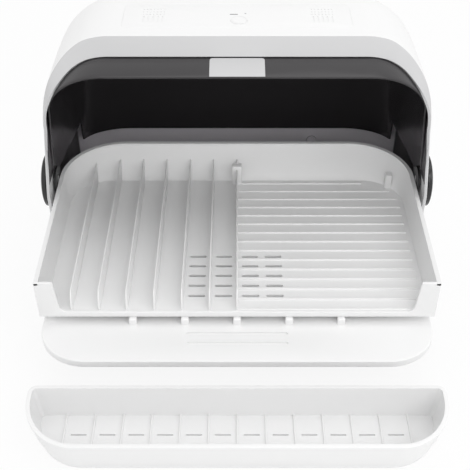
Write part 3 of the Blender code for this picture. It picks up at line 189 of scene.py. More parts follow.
VENT_HOLE_RADIUS = 0.0009
VENT_HOLE_ROWS = (0.2243, 0.2302, 0.2361)
VENT_SLOT_COLUMNS = 5
VENT_SLOT_PITCH = 0.0050
VENT_SLOT = (0.0016, 0.0137)
VENT_SLOT_Y = 0.2140

# Rack
TRAY_HALF_WIDTH = 0.2045
TRAY_DEPTH = 0.2494
TRAY_CORNER = 0.070
TRAY_TOP = 0.1023
TRAY_LOW = 0.0546
TRAY_FLOOR = 0.0609
TRAY_WALL = 0.0026
TRAY_PLATE = 0.003
TRAY_RIM_WIDTH = 0.0045
TRAY_RIM_HEIGHT = 0.003
TRAY_FLANGE = 0.019
TRAY_LIP_DEPTH = 0.003
TRAY_LIP_RISE = 0.0006
TRAY_FLANGE_LEAN = 0.003
TRAY_FLANGE_CORNER = 0.008
TRAY_SIDE_LEAN = 0.0040
TRAY_BACK_LEAN = 0.0214
TRAY_EDGE = 0.0006
# How far fins and blocks reach into the rear wall
TRAY_ROOT = 0.00065
# How far up the wall, and how much of the lean is left there
TRAY_WALL_SHARES = (
    (0.0, 1.0),
    (0.06, 0.86),
    (0.14, 0.74),
    (0.24, 0.62),
    (0.38, 0.46),
    (0.53, 0.33),
    (0.75, 0.16),
    (1.0, 0.0),
)
DIVIDER_BLOCK = (0.012, 0.008, 0.026)
CORNER_POST = (0.008, 0.008, 0.019)
CORNER_POST_PLACE = (0.179, 0.2095)
BLOCK_EDGE = 0.0012
FIN_COUNT = 7
FIN_PITCH = 0.02847
FIN_THICKNESS = 0.0022
FIN_TOP_THICKNESS = 0.0012
FIN_HEIGHT = 0.0219
FIN_FRONT = 0.0035
FIN_SLOPE_RUN = 0.009
FIN_SLOPE_STEPS = 10
FIN_EDGE = 0.0003
FIN_EDGE_STEPS = 2
FIN_REAR_SHARES = (1.0, 0.75, 0.5, 0.25, 0.0)
STRIPE_COUNT = 15
STRIPE_PITCH = 0.01533
STRIPE_WIDTH = 0.0032
STRIPE_HEIGHT = 0.0014
STRIPE_SIDE_MARGIN = 0.005
SLOT_ROWS = 5
SLOT_WIDTH = 0.0185
SLOT_LENGTH = 0.0034
SLOT_CUT_HEIGHT = 0.005475
SLOT_FIRST_ROW = 0.0245
SLOT_COLUMN_SHARES = (-1.5, -0.5, 0.5, 1.4)

# Drawer base
BASE_SHELF_HALF_WIDTH = 0.2018
BASE_SHELF_FRONT = -0.054
BASE_SHELF_BACK = 0.246
BASE_SHELF_TOP = 0.047
BASE_SHELF_PLATE = 0.003
BASE_SHELF_LOW = 0.038
BASE_SHELF_WALL = 0.0026
BASE_CORNER_WIDTH = 0.050
BASE_CORNER_DEPTH = 0.046
BASE_REAR_CORNER = 0.050
BASE_EDGE = 0.0012
BASE_EDGE_STEPS = 4
SUPPORT_WIDTH = 0.008
SUPPORT_X = 0.150
SUPPORT_FRONT = 0.018
GROOVE_WIDTH = 0.104
GROOVE_LENGTH = 0.0045
GROOVE_DEPTH = 0.0020
GROOVE_PLACES = (-0.0165, -0.0300)
RIB_COUNT = 5
RIB_SPACING = 0.054
RIB_WIDTH = 0.008
RIB_DEPTH = 0.004

# Cutlery trough
BOX_HALF_WIDTH = 0.202
BOX_BACK = -0.082
BOX_DEPTH = 0.0724
BOX_HEIGHT = 0.0445
BOX_CORNER_WIDTH = 0.052
BOX_CORNER_DEPTH = 0.058
BOX_REAR_CORNER = 0.008
BOX_TAPER = 0.0074
BOX_MIDDLE_TAPER = 0.00185
BOX_WALL = 0.0024
BOX_FLOOR = 0.0027
BOX_OVERHANG = 0.0016
BOX_RIM_HEIGHT = 0.003
BOX_EDGE = 0.0006
BOX_RIB_COUNT = 13
BOX_RIB_PITCH = 0.02823
BOX_RIB_WIDTH = 0.0016
BOX_RIB_HEIGHT = 0.002
BOX_RIB_EDGE = 0.0004
BOX_SLOT_WIDTH = 0.016
BOX_SLOT_LENGTH = 0.0016
BOX_SLOT_PLACES = (0.030, 0.044)

# Camera and light
PICTURE_SIDE = 470
FOCAL_PIXELS = 860.25
SENSOR_WIDTH = 36.0
CAMERA_X = -0.0022
CAMERA_Y = -0.62035
CAMERA_HEIGHT = 0.69935
CAMERA_DOWN = radians(40.67)
FLOOR_SIDE = 12.0
FLOOR_ROUGHNESS = 0.9
FLOOR_GLOW_SHARE = 0.88
WORLD_LIGHT = 0.85
# Name, place, target, side and power
LAMPS = (
    ("top_light", (0.3, 0.3, 2.2), (0.0, 0.0, 0.1), 1.6, 6.0),
    ("right_light", (1.5, -1.1, 1.7), (0.0, 0.0, 0.1), 1.4, 7.5),
    ("front_light", (0.2, -1.7, 1.7), (0.0, 0.1, 0.1), 1.4, 8.0),
)

# Colours
WHITE = (0.84, 0.84, 0.84)
RACK_WHITE = (0.86, 0.86, 0.86)
# Painted shade: the band and the handle are the housing's white plastic, painted this grey because they
# face forward and get less light than the roof
BAND_PAINTED_SHADE_GREY = (0.57, 0.57, 0.575)
INNER_GREY = (0.84, 0.81, 0.85)
SMOKED_BLACK = (0.030, 0.028, 0.030)
# Lighter grey low on the hood's cheeks; on the lining's side walls it is painted shade
SMOKED_GREY_AND_PAINTED_SHADE = (0.055, 0.050, 0.055)
CAP_BLACK = (0.012, 0.012, 0.013)
MARK_GREY = (0.42, 0.42, 0.43)
LENS_GREY = (0.10, 0.10, 0.11)
FLOOR_WHITE = (0.86, 0.86, 0.86)
STEEL_GREY = (0.55, 0.55, 0.56)
SHEET_GREY = (0.60, 0.58, 0.63)
RUBBER_BLACK = (0.035, 0.035, 0.035)
NATURAL_WHITE = (0.66, 0.66, 0.65)
SOLID_BLACK = (0.015, 0.015, 0.016)
BOARD_GREEN = (0.03, 0.12, 0.06)
GLASS_BLUE = (0.72, 0.76, 0.90)

# Roughness, or its lowest and highest value
WHITE_ROUGHNESS = 0.30
BAND_ROUGHNESS = 0.34
RACK_ROUGHNESS = 0.34
LENS_ROUGHNESS = 0.2
CAP_ROUGHNESS = 0.14
MARK_ROUGHNESS = 0.35
STEEL_ROUGHNESS = 0.3
SHEET_ROUGHNESS = 0.35
RUBBER_ROUGHNESS = 0.75
NATURAL_ROUGHNESS = 0.5
BLACK_ROUGHNESS = 0.45
BOARD_ROUGHNESS = 0.4
SMOKED_ROUGHNESS = (0.16, 0.24)
LINING_ROUGHNESS = (0.34, 0.44)
GLASS_ROUGHNESS = (0.03, 0.12)
PLASTIC_VARIATION = 0.02
METAL_VARIATION = 0.06

# Sizes of lumps and heights of bumps, in metres
CLOUD_SIZE = 0.045
HAZE_SIZE = 0.03
GLASS_HAZE_SIZE = 0.006
STREAK_SIZE = 0.002
MOULD_GRAIN = (0.0007, 0.00003)
CAP_GRAIN = (0.003, 0.00001)
SMOKED_GRAIN = (0.004, 0.00002)
RUBBER_GRAIN = (0.0012, 0.0001)
BOARD_GRAIN = (0.002, 0.00005)
METAL_GRAIN = (0.0005, 0.00001)
MOULD_STRENGTH = 0.35
SMOKED_STRENGTH = 0.2
CLOUD_TINT = 0.008
BOARD_TINT = 0.15
GRAIN_DETAIL = 3.0
CLOUD_DETAIL = 4.0
HAZE_DETAIL = 5.0
NOISE_MIDDLE_SHARES = (0.3, 0.7)
GLASS_TRANSMISSION = 0.6


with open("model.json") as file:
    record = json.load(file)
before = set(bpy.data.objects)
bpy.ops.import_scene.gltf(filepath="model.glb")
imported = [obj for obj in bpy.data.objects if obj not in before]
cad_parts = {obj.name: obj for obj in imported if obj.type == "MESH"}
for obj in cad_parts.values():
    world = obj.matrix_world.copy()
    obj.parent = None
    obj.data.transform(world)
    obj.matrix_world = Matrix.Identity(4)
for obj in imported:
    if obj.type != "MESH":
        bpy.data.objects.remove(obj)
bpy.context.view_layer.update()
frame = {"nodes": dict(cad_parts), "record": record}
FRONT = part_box("rack_tray")[0].y


# Solids

def object_from(name, mesh):
    bmesh.ops.recalc_face_normals(mesh, faces=mesh.faces)
    if mesh.calc_volume(signed=True) < 0:
        bmesh.ops.reverse_faces(mesh, faces=mesh.faces)
    return sheet_from(name, mesh)


def sheet_from(name, mesh):
    data = bpy.data.meshes.new(name)
    mesh.to_mesh(data)
    mesh.free()
    obj = bpy.data.objects.new(name, data)
    bpy.context.scene.collection.objects.link(obj)
    return obj


def box(name, low, high):
    mesh = bmesh.new()
    bmesh.ops.create_cube(mesh, size=1)
    low, high = Vector(low), Vector(high)
    bmesh.ops.scale(mesh, vec=high - low, verts=mesh.verts)
    bmesh.ops.translate(mesh, vec=(low + high) / 2, verts=mesh.verts)
    return object_from(name, mesh)


def cylinder(name, radius, start, end, steps=ROUND_STEPS):
    start, end = Vector(start), Vector(end)
    mesh = bmesh.new()
    bmesh.ops.create_cone(
        mesh, cap_ends=True, segments=steps, radius1=radius, radius2=radius, depth=(end - start).length
    )
    turn = Vector((0, 0, 1)).rotation_difference(end - start).to_matrix().to_4x4()
    mesh.transform(Matrix.Translation((start + end) / 2) @ turn)
    return object_from(name, mesh)


PLANES = {
    "z": lambda a, b, h: (a, b, h),
    "x": lambda a, b, h: (h, a, b),
    "y": lambda a, b, h: (a, h, b),
}


def prism(name, outline, low, high, axis="z"):
    """A flat outline pulled along one axis; for x it is drawn in (y, z), for y in (x, z)."""
    place = PLANES[axis]
    mesh = bmesh.new()
    face = mesh.faces.new([mesh.verts.new(place(a, b, low)) for a, b in outline])
    pulled = bmesh.ops.extrude_face_region(mesh, geom=[face])
    corners = [item for item in pulled["geom"] if isinstance(item, bmesh.types.BMVert)]
    bmesh.ops.translate(mesh, vec=place(0, 0, high - low), verts=corners)
    return object_from(name, mesh)


def loft(name, rings):
    """A closed solid in triangles through unlike rings of equally many points."""
    mesh = bmesh.new()
    rows = [[mesh.verts.new(point) for point in ring] for ring in rings]
    for here, there in zip(rows, rows[1:]):
        for index, corner in enumerate(here):
            after = (index + 1) % len(here)
            mesh.faces.new((corner, here[after], there[after], there[index]))
    mesh.faces.new(rows[0])
    mesh.faces.new(rows[-1])
    bmesh.ops.triangulate(mesh, faces=mesh.faces)
    return object_from(name, mesh)


def skin(name, rows, end_face=False):
    """An open sheet through rows of equally many points, its last row filled on request."""
    mesh = bmesh.new()
    grid = [[mesh.verts.new(point) for point in row] for row in rows]
    for here, there in zip(grid, grid[1:]):
        for index in range(len(here) - 1):
            mesh.faces.new((here[index], here[index + 1], there[index + 1], there[index]))
    if end_face:
        mesh.faces.new(grid[-1])
    return sheet_from(name, mesh)


def baked(obj):
    """Replace an object's modifiers by the mesh that they make."""
    bpy.context.view_layer.update()
    evaluated = obj.evaluated_get(bpy.context.evaluated_depsgraph_get())
    mesh = bpy.data.meshes.new_from_object(evaluated)
    obj.modifiers.clear()
    obj.data = mesh
    return obj


def combine(target, tool, operation):
    modifier = target.modifiers.new(operation.lower(), "BOOLEAN")
    modifier.operation = operation
    modifier.object = tool
    modifier.solver = "EXACT"
    baked(target)
    bpy.data.objects.remove(tool, do_unlink=True)
    return target


def cut(target, *tools):
    for tool in tools:
        combine(target, tool, "DIFFERENCE")
    return target


def join(target, *tools):
    for tool in tools:
        combine(target, tool, "UNION")
    return target


def gather(name, pieces):
    """Several closed solids as one piece."""
    mesh = bmesh.new()
    for piece in pieces:
        mesh.from_mesh(piece.data)
        bpy.data.objects.remove(piece, do_unlink=True)
    return sheet_from(name, mesh)


def thicken(obj, thickness, offset=-1, next_material=0):
    """Give a sheet a wall, against its normals at offset -1 and along them at offset 1."""
    wall = obj.modifiers.new("wall", "SOLIDIFY")
    wall.thickness = thickness
    wall.offset = offset
    wall.use_even_offset = True
    wall.material_offset = next_material
    wall.material_offset_rim = next_material
    return baked(obj)


def round_edges(obj, radius, segments=EDGE_STEPS, angle=EDGE_ANGLE):
    bevel = obj.modifiers.new("edges", "BEVEL")
    bevel.width = radius
    bevel.segments = segments
    bevel.limit_method = "ANGLE"
    bevel.angle_limit = angle
    bevel.harden_normals = False
    return baked(obj)


def settle(obj, body, materials, replaced=()):
    """Shade a piece, give it its materials and hang it on its body, in the CAD's place."""
    obj.data.transform(Matrix.Translation((0, FRONT, 0)))
    obj.data.shade_smooth()
    obj.data.set_sharp_from_angle(angle=SHARP_ANGLE)
    slots = obj.data.materials
    while len(slots) < len(materials):
        slots.append(None)
    for index, material in enumerate(materials):
        slots[index] = material
    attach(obj, body)
    if replaced:
        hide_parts(*replaced)
    return obj


# Outlines

def arc(centre_a, centre_b, radius_a, radius_b, start, end, steps=CORNER_STEPS):
    return [
        (
            centre_a + radius_a * cos(start + (end - start) * step / steps),
            centre_b + radius_b * sin(start + (end - start) * step / steps),
        )
        for step in range(steps + 1)
    ]


def mirrored(half):
    return half + [(-a, b) for a, b in reversed(half)]


def rounded_rectangle(low, high, radius, steps=CORNER_STEPS // 2):
    (left, front), (right, back) = low, high
    outline = arc(right - radius, front + radius, radius, radius, -pi / 2, 0, steps)
    outline += arc(right - radius, back - radius, radius, radius, 0, pi / 2, steps)
    outline += arc(left + radius, back - radius, radius, radius, pi / 2, pi, steps)
    outline += arc(left + radius, front + radius, radius, radius, pi, 3 * pi / 2, steps)
    return outline


def front_rounded(half, front, back, corner_width, corner_depth, rear_corner):
    low = arc(half - corner_width, front + corner_depth, corner_width, corner_depth, -pi / 2, 0)
    high = arc(half - rear_corner, back - rear_corner, rear_corner, rear_corner, 0, pi / 2)
    return mirrored(low + high)


def stadium(x, y, width, length):
    """A slot's outline with round ends."""
    low = (x - width / 2, y - length / 2)
    high = (x + width / 2, y + length / 2)
    return rounded_rectangle(low, high, min(width, length) / 2 - MERGE_DISTANCE, SLOT_STEPS)


def raised(outline, height):
    return [(a, b, height) for a, b in outline]


def eased(table, value):
    """Value read from a table of pairs, in a straight line between them."""
    for (low, start), (high, end) in zip(table, table[1:]):
        if value <= high:
            share = (value - low) / (high - low)
            return start + (end - start) * share
    return table[-1][1]


def smooth_line(points, steps):
    """Points on a smooth curve through the given ones, with so many steps between each two."""
    curve = []
    last = len(points) - 1
    for index in range(last):
        before, start = Vector(points[max(index - 1, 0)]), Vector(points[index])
        end, after = Vector(points[index + 1]), Vector(points[min(index + 2, last)])
        for step in range(steps):
            way = step / steps
            curve.append((
                2 * start
                + (end - before) * way
                + (2 * before - 5 * start + 4 * end - after) * way ** 2
                + (3 * start - before - 3 * end + after) * way ** 3
            ) / 2)
    return curve + [Vector(points[last])]


# Housing

def front_line(line, side=0.0, wall=0.0):
    """Right half of the lip or the crease as points in space, from the bottom to the roof."""
    half = [
        Vector((HOUSING_HALF_WIDTH - side - inset, depth, HOUSING_HEIGHT - wall - drop))
        for inset, depth, drop in smooth_line(line, LINE_STEPS)
    ]
    return [Vector((half[0].x, half[0].y, HOUSING_LOW))] + half


def both_sides(half):
    return [tuple(point) for point in half] + [(-x, y, z) for x, y, z in reversed(half)]


def rear_inset(depth, reach, amount):
    start = HOUSING_BACK - reach
    share = min(max((depth - start) / reach, 0), 1)
    return amount * (1 - sqrt(max(1 - share * share, 0)))


def housing_row(depth):
    side = rear_inset(depth, REAR_SIDE_DEPTH, REAR_SIDE_INSET)
    shoulder = rear_inset(depth, REAR_SHOULDER_DEPTH, REAR_SHOULDER_INSET)
    top = rear_inset(depth, REAR_TOP_DEPTH, REAR_TOP_INSET)
    half = []
    for x, _, z in front_line(CREASE_LINE, SIDE_WALL, HOUSING_WALL):
        rise = (z - HOUSING_LOW) / (HOUSING_HEIGHT - HOUSING_LOW)
        lean = max(rise - REAR_LEAN_START_SHARE, 0) / (1 - REAR_LEAN_START_SHARE)
        x -= side + shoulder * lean ** REAR_LEAN_POWER
        half.append((x, depth - HOUSING_WALL, z - top * rise))
    return both_sides(half)


def band_rows():
    """The front band, from the lip that hangs over the hood to the crease of the roof."""
    rows = []
    for step in range(BAND_ROWS + 1):
        way = step / BAND_ROWS
        pairs = zip(front_line(LIP_LINE), front_line(CREASE_LINE, SIDE_WALL, HOUSING_WALL))
        rows.append(both_sides([lip.lerp(crease, way) for lip, crease in pairs]))
    return rows


def housing():
    rows = band_rows()
    start = HOUSING_BACK - REAR_SHOULDER_DEPTH
    rows += [
        housing_row(start + REAR_SHOULDER_DEPTH * sin(pi / 2 * step / CORNER_STEPS))
        for step in range(CORNER_STEPS + 1)
    ]
    shell = skin("white_housing", rows, end_face=True)
    for _ in OUTER_FIRST:
        shell.data.materials.append(None)
    for face in list(shell.data.polygons)[:BAND_ROWS * (len(rows[0]) - 1)]:
        face.material_index = BAND_SLOT
    round_edges(shell, CREASE_RADIUS, CREASE_STEPS, CREASE_ANGLE)
    thicken(shell, HOUSING_WALL, -1, 1)
    for face in shell.data.polygons:
        face.material_index = OUTER_FIRST[face.material_index]
    for side in (1, -1):
        ear = cylinder(
            "ear",
            EAR_RADIUS,
            (side * EAR_INNER, PIVOT_Y, PIVOT_Z),
            (side * EAR_OUTER, PIVOT_Y, PIVOT_Z),
        )
        join(shell, ear)
    pin_hole = cylinder(
        "pin_hole",
        PIN_RADIUS + GAP,
        (-EAR_OUTER - OVERRUN, PIVOT_Y, PIVOT_Z),
        (EAR_OUTER + OVERRUN, PIVOT_Y, PIVOT_Z),
        SMALL_STEPS,
    )
    recess = prism(
        "recess",
        panel_outline(PANEL_SEAM),
        HOUSING_HEIGHT - PANEL_PLATE - PANEL_SEAM,
        HOUSING_HEIGHT + OVERRUN,
    )
    cut(
        shell,
        pin_hole,
        recess,
        roof_drill(BUTTON_RADIUS + GAP, BUTTON_X, BUTTON_Y),
        roof_drill(DOT_RADIUS + PANEL_SEAM, DOT_X, DOT_Y),
        roof_drill(LENS_WIDTH / 2 + GAP, LENS_X, LENS_Y),
        *inlet_openings(),
    )
    # The band's slot holds white plastic painted grey as painted shade
    materials = [white_plastic, lining_with_painted_shade, painted_shade_white, lining_with_painted_shade]
    settle(shell, "cabinet", materials, ["housing_shell"])


def panel_outline(grown):
    return rounded_rectangle(
        (PANEL_X - PANEL_HALF_WIDTH - grown, PANEL_FRONT - grown),
        (PANEL_X + PANEL_HALF_WIDTH + grown, PANEL_BACK + grown),
        PANEL_CORNER,
    )


def roof_drill(radius, x, y):
    """A round cutter through the roof."""
    return cylinder("drill", radius, (x, y, HOUSING_HEIGHT - OVERRUN), (x, y, HOUSING_HEIGHT + OVERRUN))


def inlet_openings():
    hole = cylinder(
        "inlet_hole",
        INLET_RADIUS + GAP,
        (INLET_X, HOUSING_BACK - OVERRUN, INLET_Z),
        (INLET_X, HOUSING_BACK + OVERRUN, INLET_Z),
    )
    seat = cylinder(
        "inlet_seat",
        INLET_FLANGE_RADIUS + GAP,
        (INLET_X, HOUSING_BACK - INLET_FLANGE - GAP, INLET_Z),
        (INLET_X, HOUSING_BACK + OVERRUN, INLET_Z),
    )
    return [hole, seat]


def roof_panel():
    """The plate let into the roof, with shallow vent marks and holes for button and lights."""
    plate = prism("roof_panel", panel_outline(0), HOUSING_HEIGHT - PANEL_PLATE, HOUSING_HEIGHT)
    round_edges(plate, PANEL_EDGE)
    start = HOUSING_HEIGHT - OVERRUN
    end = HOUSING_HEIGHT + OVERRUN
    lens = stadium(LENS_X, LENS_Y, LENS_WIDTH + PANEL_SEAM, LENS_LENGTH + PANEL_SEAM)
    cut(
        plate,
        roof_drill(BUTTON_RADIUS + GAP / 2, BUTTON_X, BUTTON_Y),
        roof_drill(DOT_RADIUS + PANEL_SEAM, DOT_X, DOT_Y),
        prism("hole", lens, start, end),
        gather("vents", vent_cutters(HOUSING_HEIGHT - VENT_DEPTH, end)),
    )
    settle(plate, "cabinet", [white_plastic], ["control_panel"])
    bar = prism(
        "status_bar",
        stadium(LENS_X, LENS_Y, LENS_WIDTH, LENS_LENGTH),
        HOUSING_HEIGHT - LENS_DEPTH,
        HOUSING_HEIGHT,
    )
    settle(bar, "cabinet", [lens_plastic], ["status_lens"])
    dot = cylinder(
        "status_dot",
        DOT_RADIUS,
        (DOT_X, DOT_Y, HOUSING_HEIGHT - LENS_DEPTH),
        (DOT_X, DOT_Y, HOUSING_HEIGHT),
    )
    settle(dot, "cabinet", [mark_plastic], ["indicator_dot"])


def vent_cutters(start, end):
    """Rows of small round holes with a row of slots in front of them, on both sides."""
    tools = []
    for side in (1, -1):
        middle = VENT_MIDDLE_X + side * VENT_X
        for column in range(VENT_HOLE_COLUMNS):
            x = middle + (column - (VENT_HOLE_COLUMNS - 1) / 2) * VENT_HOLE_PITCH
            for y in VENT_HOLE_ROWS:
                tools.append(cylinder("hole", VENT_HOLE_RADIUS, (x, y, start), (x, y, end), SMALL_STEPS))
        width, length = VENT_SLOT
        for column in range(VENT_SLOT_COLUMNS):
            x = middle + (column - (VENT_SLOT_COLUMNS - 1) / 2) * VENT_SLOT_PITCH
            tools.append(prism("slot", stadium(x, VENT_SLOT_Y, width, length), start, end))
    return tools


def power_cap():
    """The round cap with a ring groove and a short bar."""
    low = HOUSING_HEIGHT - BUTTON_DEPTH
    top = HOUSING_HEIGHT + BUTTON_PROUD
    cap = cylinder("power_cap", BUTTON_RADIUS, (BUTTON_X, BUTTON_Y, low), (BUTTON_X, BUTTON_Y, top))
    round_edges(cap, PANEL_EDGE)
    inner, outer, depth = BUTTON_GROOVE
    ring_start = (BUTTON_X, BUTTON_Y, top - depth)
    core_start = (BUTTON_X, BUTTON_Y, top - OVERRUN)
    ring = cylinder("ring", outer, ring_start, (BUTTON_X, BUTTON_Y, top + OVERRUN))
    core = cylinder("core", inner, core_start, (BUTTON_X, BUTTON_Y, top + 2 * OVERRUN))
    width, length = BUTTON_MARK
    mark = prism("mark", stadium(BUTTON_X, BUTTON_Y + inner, width, length), top - depth, top + OVERRUN)
    cut(cap, cut(ring, core), mark)
    settle(cap, "button", [white_plastic], ["power_button"])


# Hood and pivots

def on_circle(radius, angle):
    return PIVOT_Y - radius * cos(angle), PIVOT_Z + radius * sin(angle)


def hood_profile():
    cheek = [(HUB_OUTER, HUB_RADIUS + GAP), (HUB_OUTER, HUB_RADIUS * HUB_REACH_SHARE)]
    corner = arc(
        HOOD_HALF_WIDTH - HOOD_CORNER_WIDTH,
        HOOD_RADIUS - HOOD_CORNER_HEIGHT,
        HOOD_CORNER_WIDTH,
        HOOD_CORNER_HEIGHT,
        0,
        pi / 2,
    )
    return mirrored(cheek + corner)


def hood():
    rows = []
    for step in range(HOOD_STEPS + 1):
        angle = HOOD_OPEN_ANGLE + (HOOD_TRAIL_ANGLE - HOOD_OPEN_ANGLE) * step / HOOD_STEPS
        rows.append([(x, *on_circle(radius, angle)) for x, radius in hood_profile()])
    shell = skin("smoked_hood", rows)
    thicken(shell, HOOD_THICKNESS, -1)
    for side in (1, -1):
        near = side * (HOOD_HALF_WIDTH - CHEEK_DEPTH)
        far = side * (HUB_OUTER + OVERRUN)
        cut(shell, box(
            "tray_clearance",
            (min(near, far), PIVOT_Y - HUB_RADIUS, PIVOT_Z - HOOD_RADIUS),
            (max(near, far), CHEEK_FLOOR_BACK, CHEEK_FLOOR),
        ))
    round_edges(shell, HOOD_EDGE_RADIUS, HOOD_EDGE_STEPS, HOOD_EDGE_ANGLE)
    settle(shell, "hood", [hood_plastic], ["visor"])


def handle():
    """The white tab: a rounded rectangle wrapped round the hood's free edge."""
    inner = HOOD_RADIUS + GAP
    start = HOOD_OPEN_ANGLE + HANDLE_START_ANGLE
    length = HANDLE_ANGLE * inner
    rows = []
    for line in range(HANDLE_LINES + 1):
        along = length * sin(pi / 2 * line / HANDLE_LINES)
        into_corner = max(along - (length - HANDLE_CORNER), 0)
        drawn_in = HANDLE_CORNER - sqrt(max(HANDLE_CORNER * HANDLE_CORNER - into_corner * into_corner, 0))
        half = HANDLE_WIDTH / 2 - drawn_in
        y, z = on_circle(inner, start + along / inner)
        across = [2 * column / HANDLE_COLUMNS - 1 for column in range(HANDLE_COLUMNS + 1)]
        rows.append([(half * share, y, z) for share in across])
    tab = skin("hood_handle", rows)
    thicken(tab, HANDLE_PROUD, 1)
    round_edges(tab, HANDLE_EDGE, EDGE_STEPS, HANDLE_EDGE_ANGLE)
    # The white tab takes the same grey as the band, as painted shade
    settle(tab, "hood", [painted_shade_white], ["visor_handle"])


def pivot_caps():
    """Turned domes with a soft rim."""
    rim = CAP_INNER + CAP_RIM
    dome = arc(rim, 0, CAP_DOME, CAP_RADIUS, pi / 2, 0, CORNER_STEPS)
    socket = PIN_RADIUS + GAP
    depth = CAP_INNER + CAP_SOCKET_DEPTH
    section = [(depth, 0), (depth, socket), (CAP_INNER, socket), (CAP_INNER, CAP_RADIUS)] + dome
    for word, side in (("right", 1), ("left", -1)):
        mesh = bmesh.new()
        rows = []
        for step in range(ROUND_STEPS):
            angle = 2 * pi * step / ROUND_STEPS
            rows.append([
                mesh.verts.new((side * x, PIVOT_Y + radius * cos(angle), PIVOT_Z + radius * sin(angle)))
                for x, radius in section
            ])
        for index, here in enumerate(rows):
            there = rows[(index + 1) % len(rows)]
            for place in range(len(section) - 1):
                mesh.faces.new((here[place], here[place + 1], there[place + 1], there[place]))
        bmesh.ops.remove_doubles(mesh, verts=mesh.verts, dist=MERGE_DISTANCE)
        cap = object_from("cap_dome_" + word, mesh)
        settle(cap, "hood", [cap_plastic], ["pivot_cap_" + word])


# Rack

def tray_outline(inset, front, lean_share=0.0):
    half = TRAY_HALF_WIDTH - inset - TRAY_SIDE_LEAN * lean_share
    radius = TRAY_CORNER - inset - TRAY_BACK_LEAN * lean_share
    rear = TRAY_DEPTH - inset - TRAY_BACK_LEAN * lean_share
    corner = arc(half - radius, rear - radius, radius, radius, 0, pi / 2)
    return mirrored([(half, front)] + corner)


def tray_reach(x, lean_share):
    half = TRAY_HALF_WIDTH - TRAY_WALL - TRAY_SIDE_LEAN * lean_share
    radius = TRAY_CORNER - TRAY_WALL - TRAY_BACK_LEAN * lean_share
    rear = TRAY_DEPTH - TRAY_WALL - TRAY_BACK_LEAN * lean_share
    beyond = max(abs(x) - (half - radius), 0)
    return rear - radius + sqrt(max(radius * radius - beyond * beyond, 0))


def tray_lean(height):
    return eased(TRAY_WALL_SHARES, (height - TRAY_FLOOR) / (TRAY_TOP - TRAY_FLOOR))


def tray_skin(name, inset, front, low, high):
    span = TRAY_TOP - TRAY_FLOOR
    rings = [raised(tray_outline(inset, front, 1.0), low)]
    for share, lean in TRAY_WALL_SHARES[1:-1]:
        rings.append(raised(tray_outline(inset, front, lean), TRAY_FLOOR + span * share))
    rings.append(raised(tray_outline(inset, front), high))
    return loft(name, rings)


def rack():
    rim_low = TRAY_TOP - TRAY_RIM_HEIGHT
    shell = tray_skin(
        "rack_shell", 0, TRAY_LIP_DEPTH / 2, TRAY_FLOOR - TRAY_PLATE, TRAY_TOP - TRAY_RIM_HEIGHT / 2
    )
    join(shell, prism("rim", tray_outline(0, 0), rim_low, TRAY_TOP))
    cut(
        shell,
        tray_skin("inside", TRAY_WALL, -OVERRUN, TRAY_FLOOR, rim_low + GAP),
        prism("mouth", tray_outline(TRAY_RIM_WIDTH, -OVERRUN), rim_low, TRAY_TOP + OVERRUN),
    )
    join(shell, tray_front())
    cut(shell, gather("slots", slot_cutters()))
    settle(shell, "drawer", [rack_plastic], ["rack_tray"])
    fins = gather("rack_fins", [fin(index) for index in range(FIN_COUNT)])
    settle(fins, "drawer", [rack_plastic])
    ribs = gather("rack_ribs", [stripe(index) for index in range(STRIPE_COUNT)])
    settle(ribs, "drawer", [rack_plastic])
    blocks = gather("rack_blocks", tray_blocks())
    settle(blocks, "drawer", [rack_plastic])


def tray_front():
    """The U-shaped front frame: two upright flanges and the low lip between them."""
    lip_top = TRAY_FLOOR + TRAY_LIP_RISE
    inner_top = TRAY_HALF_WIDTH - TRAY_FLANGE
    inner_low = inner_top - TRAY_FLANGE_LEAN
    corner = arc(
        inner_low - TRAY_FLANGE_CORNER,
        lip_top + TRAY_FLANGE_CORNER,
        TRAY_FLANGE_CORNER,
        TRAY_FLANGE_CORNER,
        0,
        -pi / 2,
    )
    half = [(TRAY_HALF_WIDTH, TRAY_LOW), (TRAY_HALF_WIDTH, TRAY_TOP), (inner_top, TRAY_TOP)]
    front = prism("front", mirrored(half + corner), 0, TRAY_LIP_DEPTH, "y")
    return round_edges(front, TRAY_EDGE)


def fin(index):
    """A thin upright plate that narrows to its top and follows the rear wall."""
    x = (index - FIN_COUNT + 1) * FIN_PITCH
    low = TRAY_FLOOR - TRAY_PLATE / 2
    slope_end = FIN_FRONT + FIN_SLOPE_RUN
    front = arc(slope_end, TRAY_FLOOR, FIN_SLOPE_RUN, FIN_HEIGHT, pi, pi / 2, FIN_SLOPE_STEPS)
    rear = []
    for share in FIN_REAR_SHARES:
        height = TRAY_FLOOR + FIN_HEIGHT * share
        rear.append((tray_reach(x, tray_lean(height)) + TRAY_ROOT, height))
    outline = [(rear[-1][0], low), (FIN_FRONT, low)] + front + rear
    plate = prism("fin", outline, -FIN_THICKNESS / 2, FIN_THICKNESS / 2, "x")
    for vertex in plate.data.vertices:
        share = max((vertex.co.z - TRAY_FLOOR) / FIN_HEIGHT, 0)
        narrowed = 1 + (FIN_TOP_THICKNESS / FIN_THICKNESS - 1) * share
        vertex.co.x = vertex.co.x * narrowed + x
    return round_edges(plate, FIN_EDGE, FIN_EDGE_STEPS)


def stripe(index):
    """One low rib of the right half, its top slightly rounded."""
    reach_half = TRAY_HALF_WIDTH - TRAY_WALL - TRAY_SIDE_LEAN - STRIPE_SIDE_MARGIN
    radius = TRAY_CORNER - TRAY_WALL - TRAY_BACK_LEAN - STRIPE_SIDE_MARGIN
    depth = TRAY_LIP_DEPTH + index * STRIPE_PITCH
    into_corner = max(depth + STRIPE_WIDTH - (TRAY_DEPTH - TRAY_CORNER), 0)
    reach = reach_half - radius + sqrt(max(radius * radius - into_corner * into_corner, 0))
    rib = box(
        "rib",
        (0, depth, TRAY_FLOOR - TRAY_PLATE / 2),
        (reach, depth + STRIPE_WIDTH, TRAY_FLOOR + STRIPE_HEIGHT),
    )
    return round_edges(rib, TRAY_EDGE)


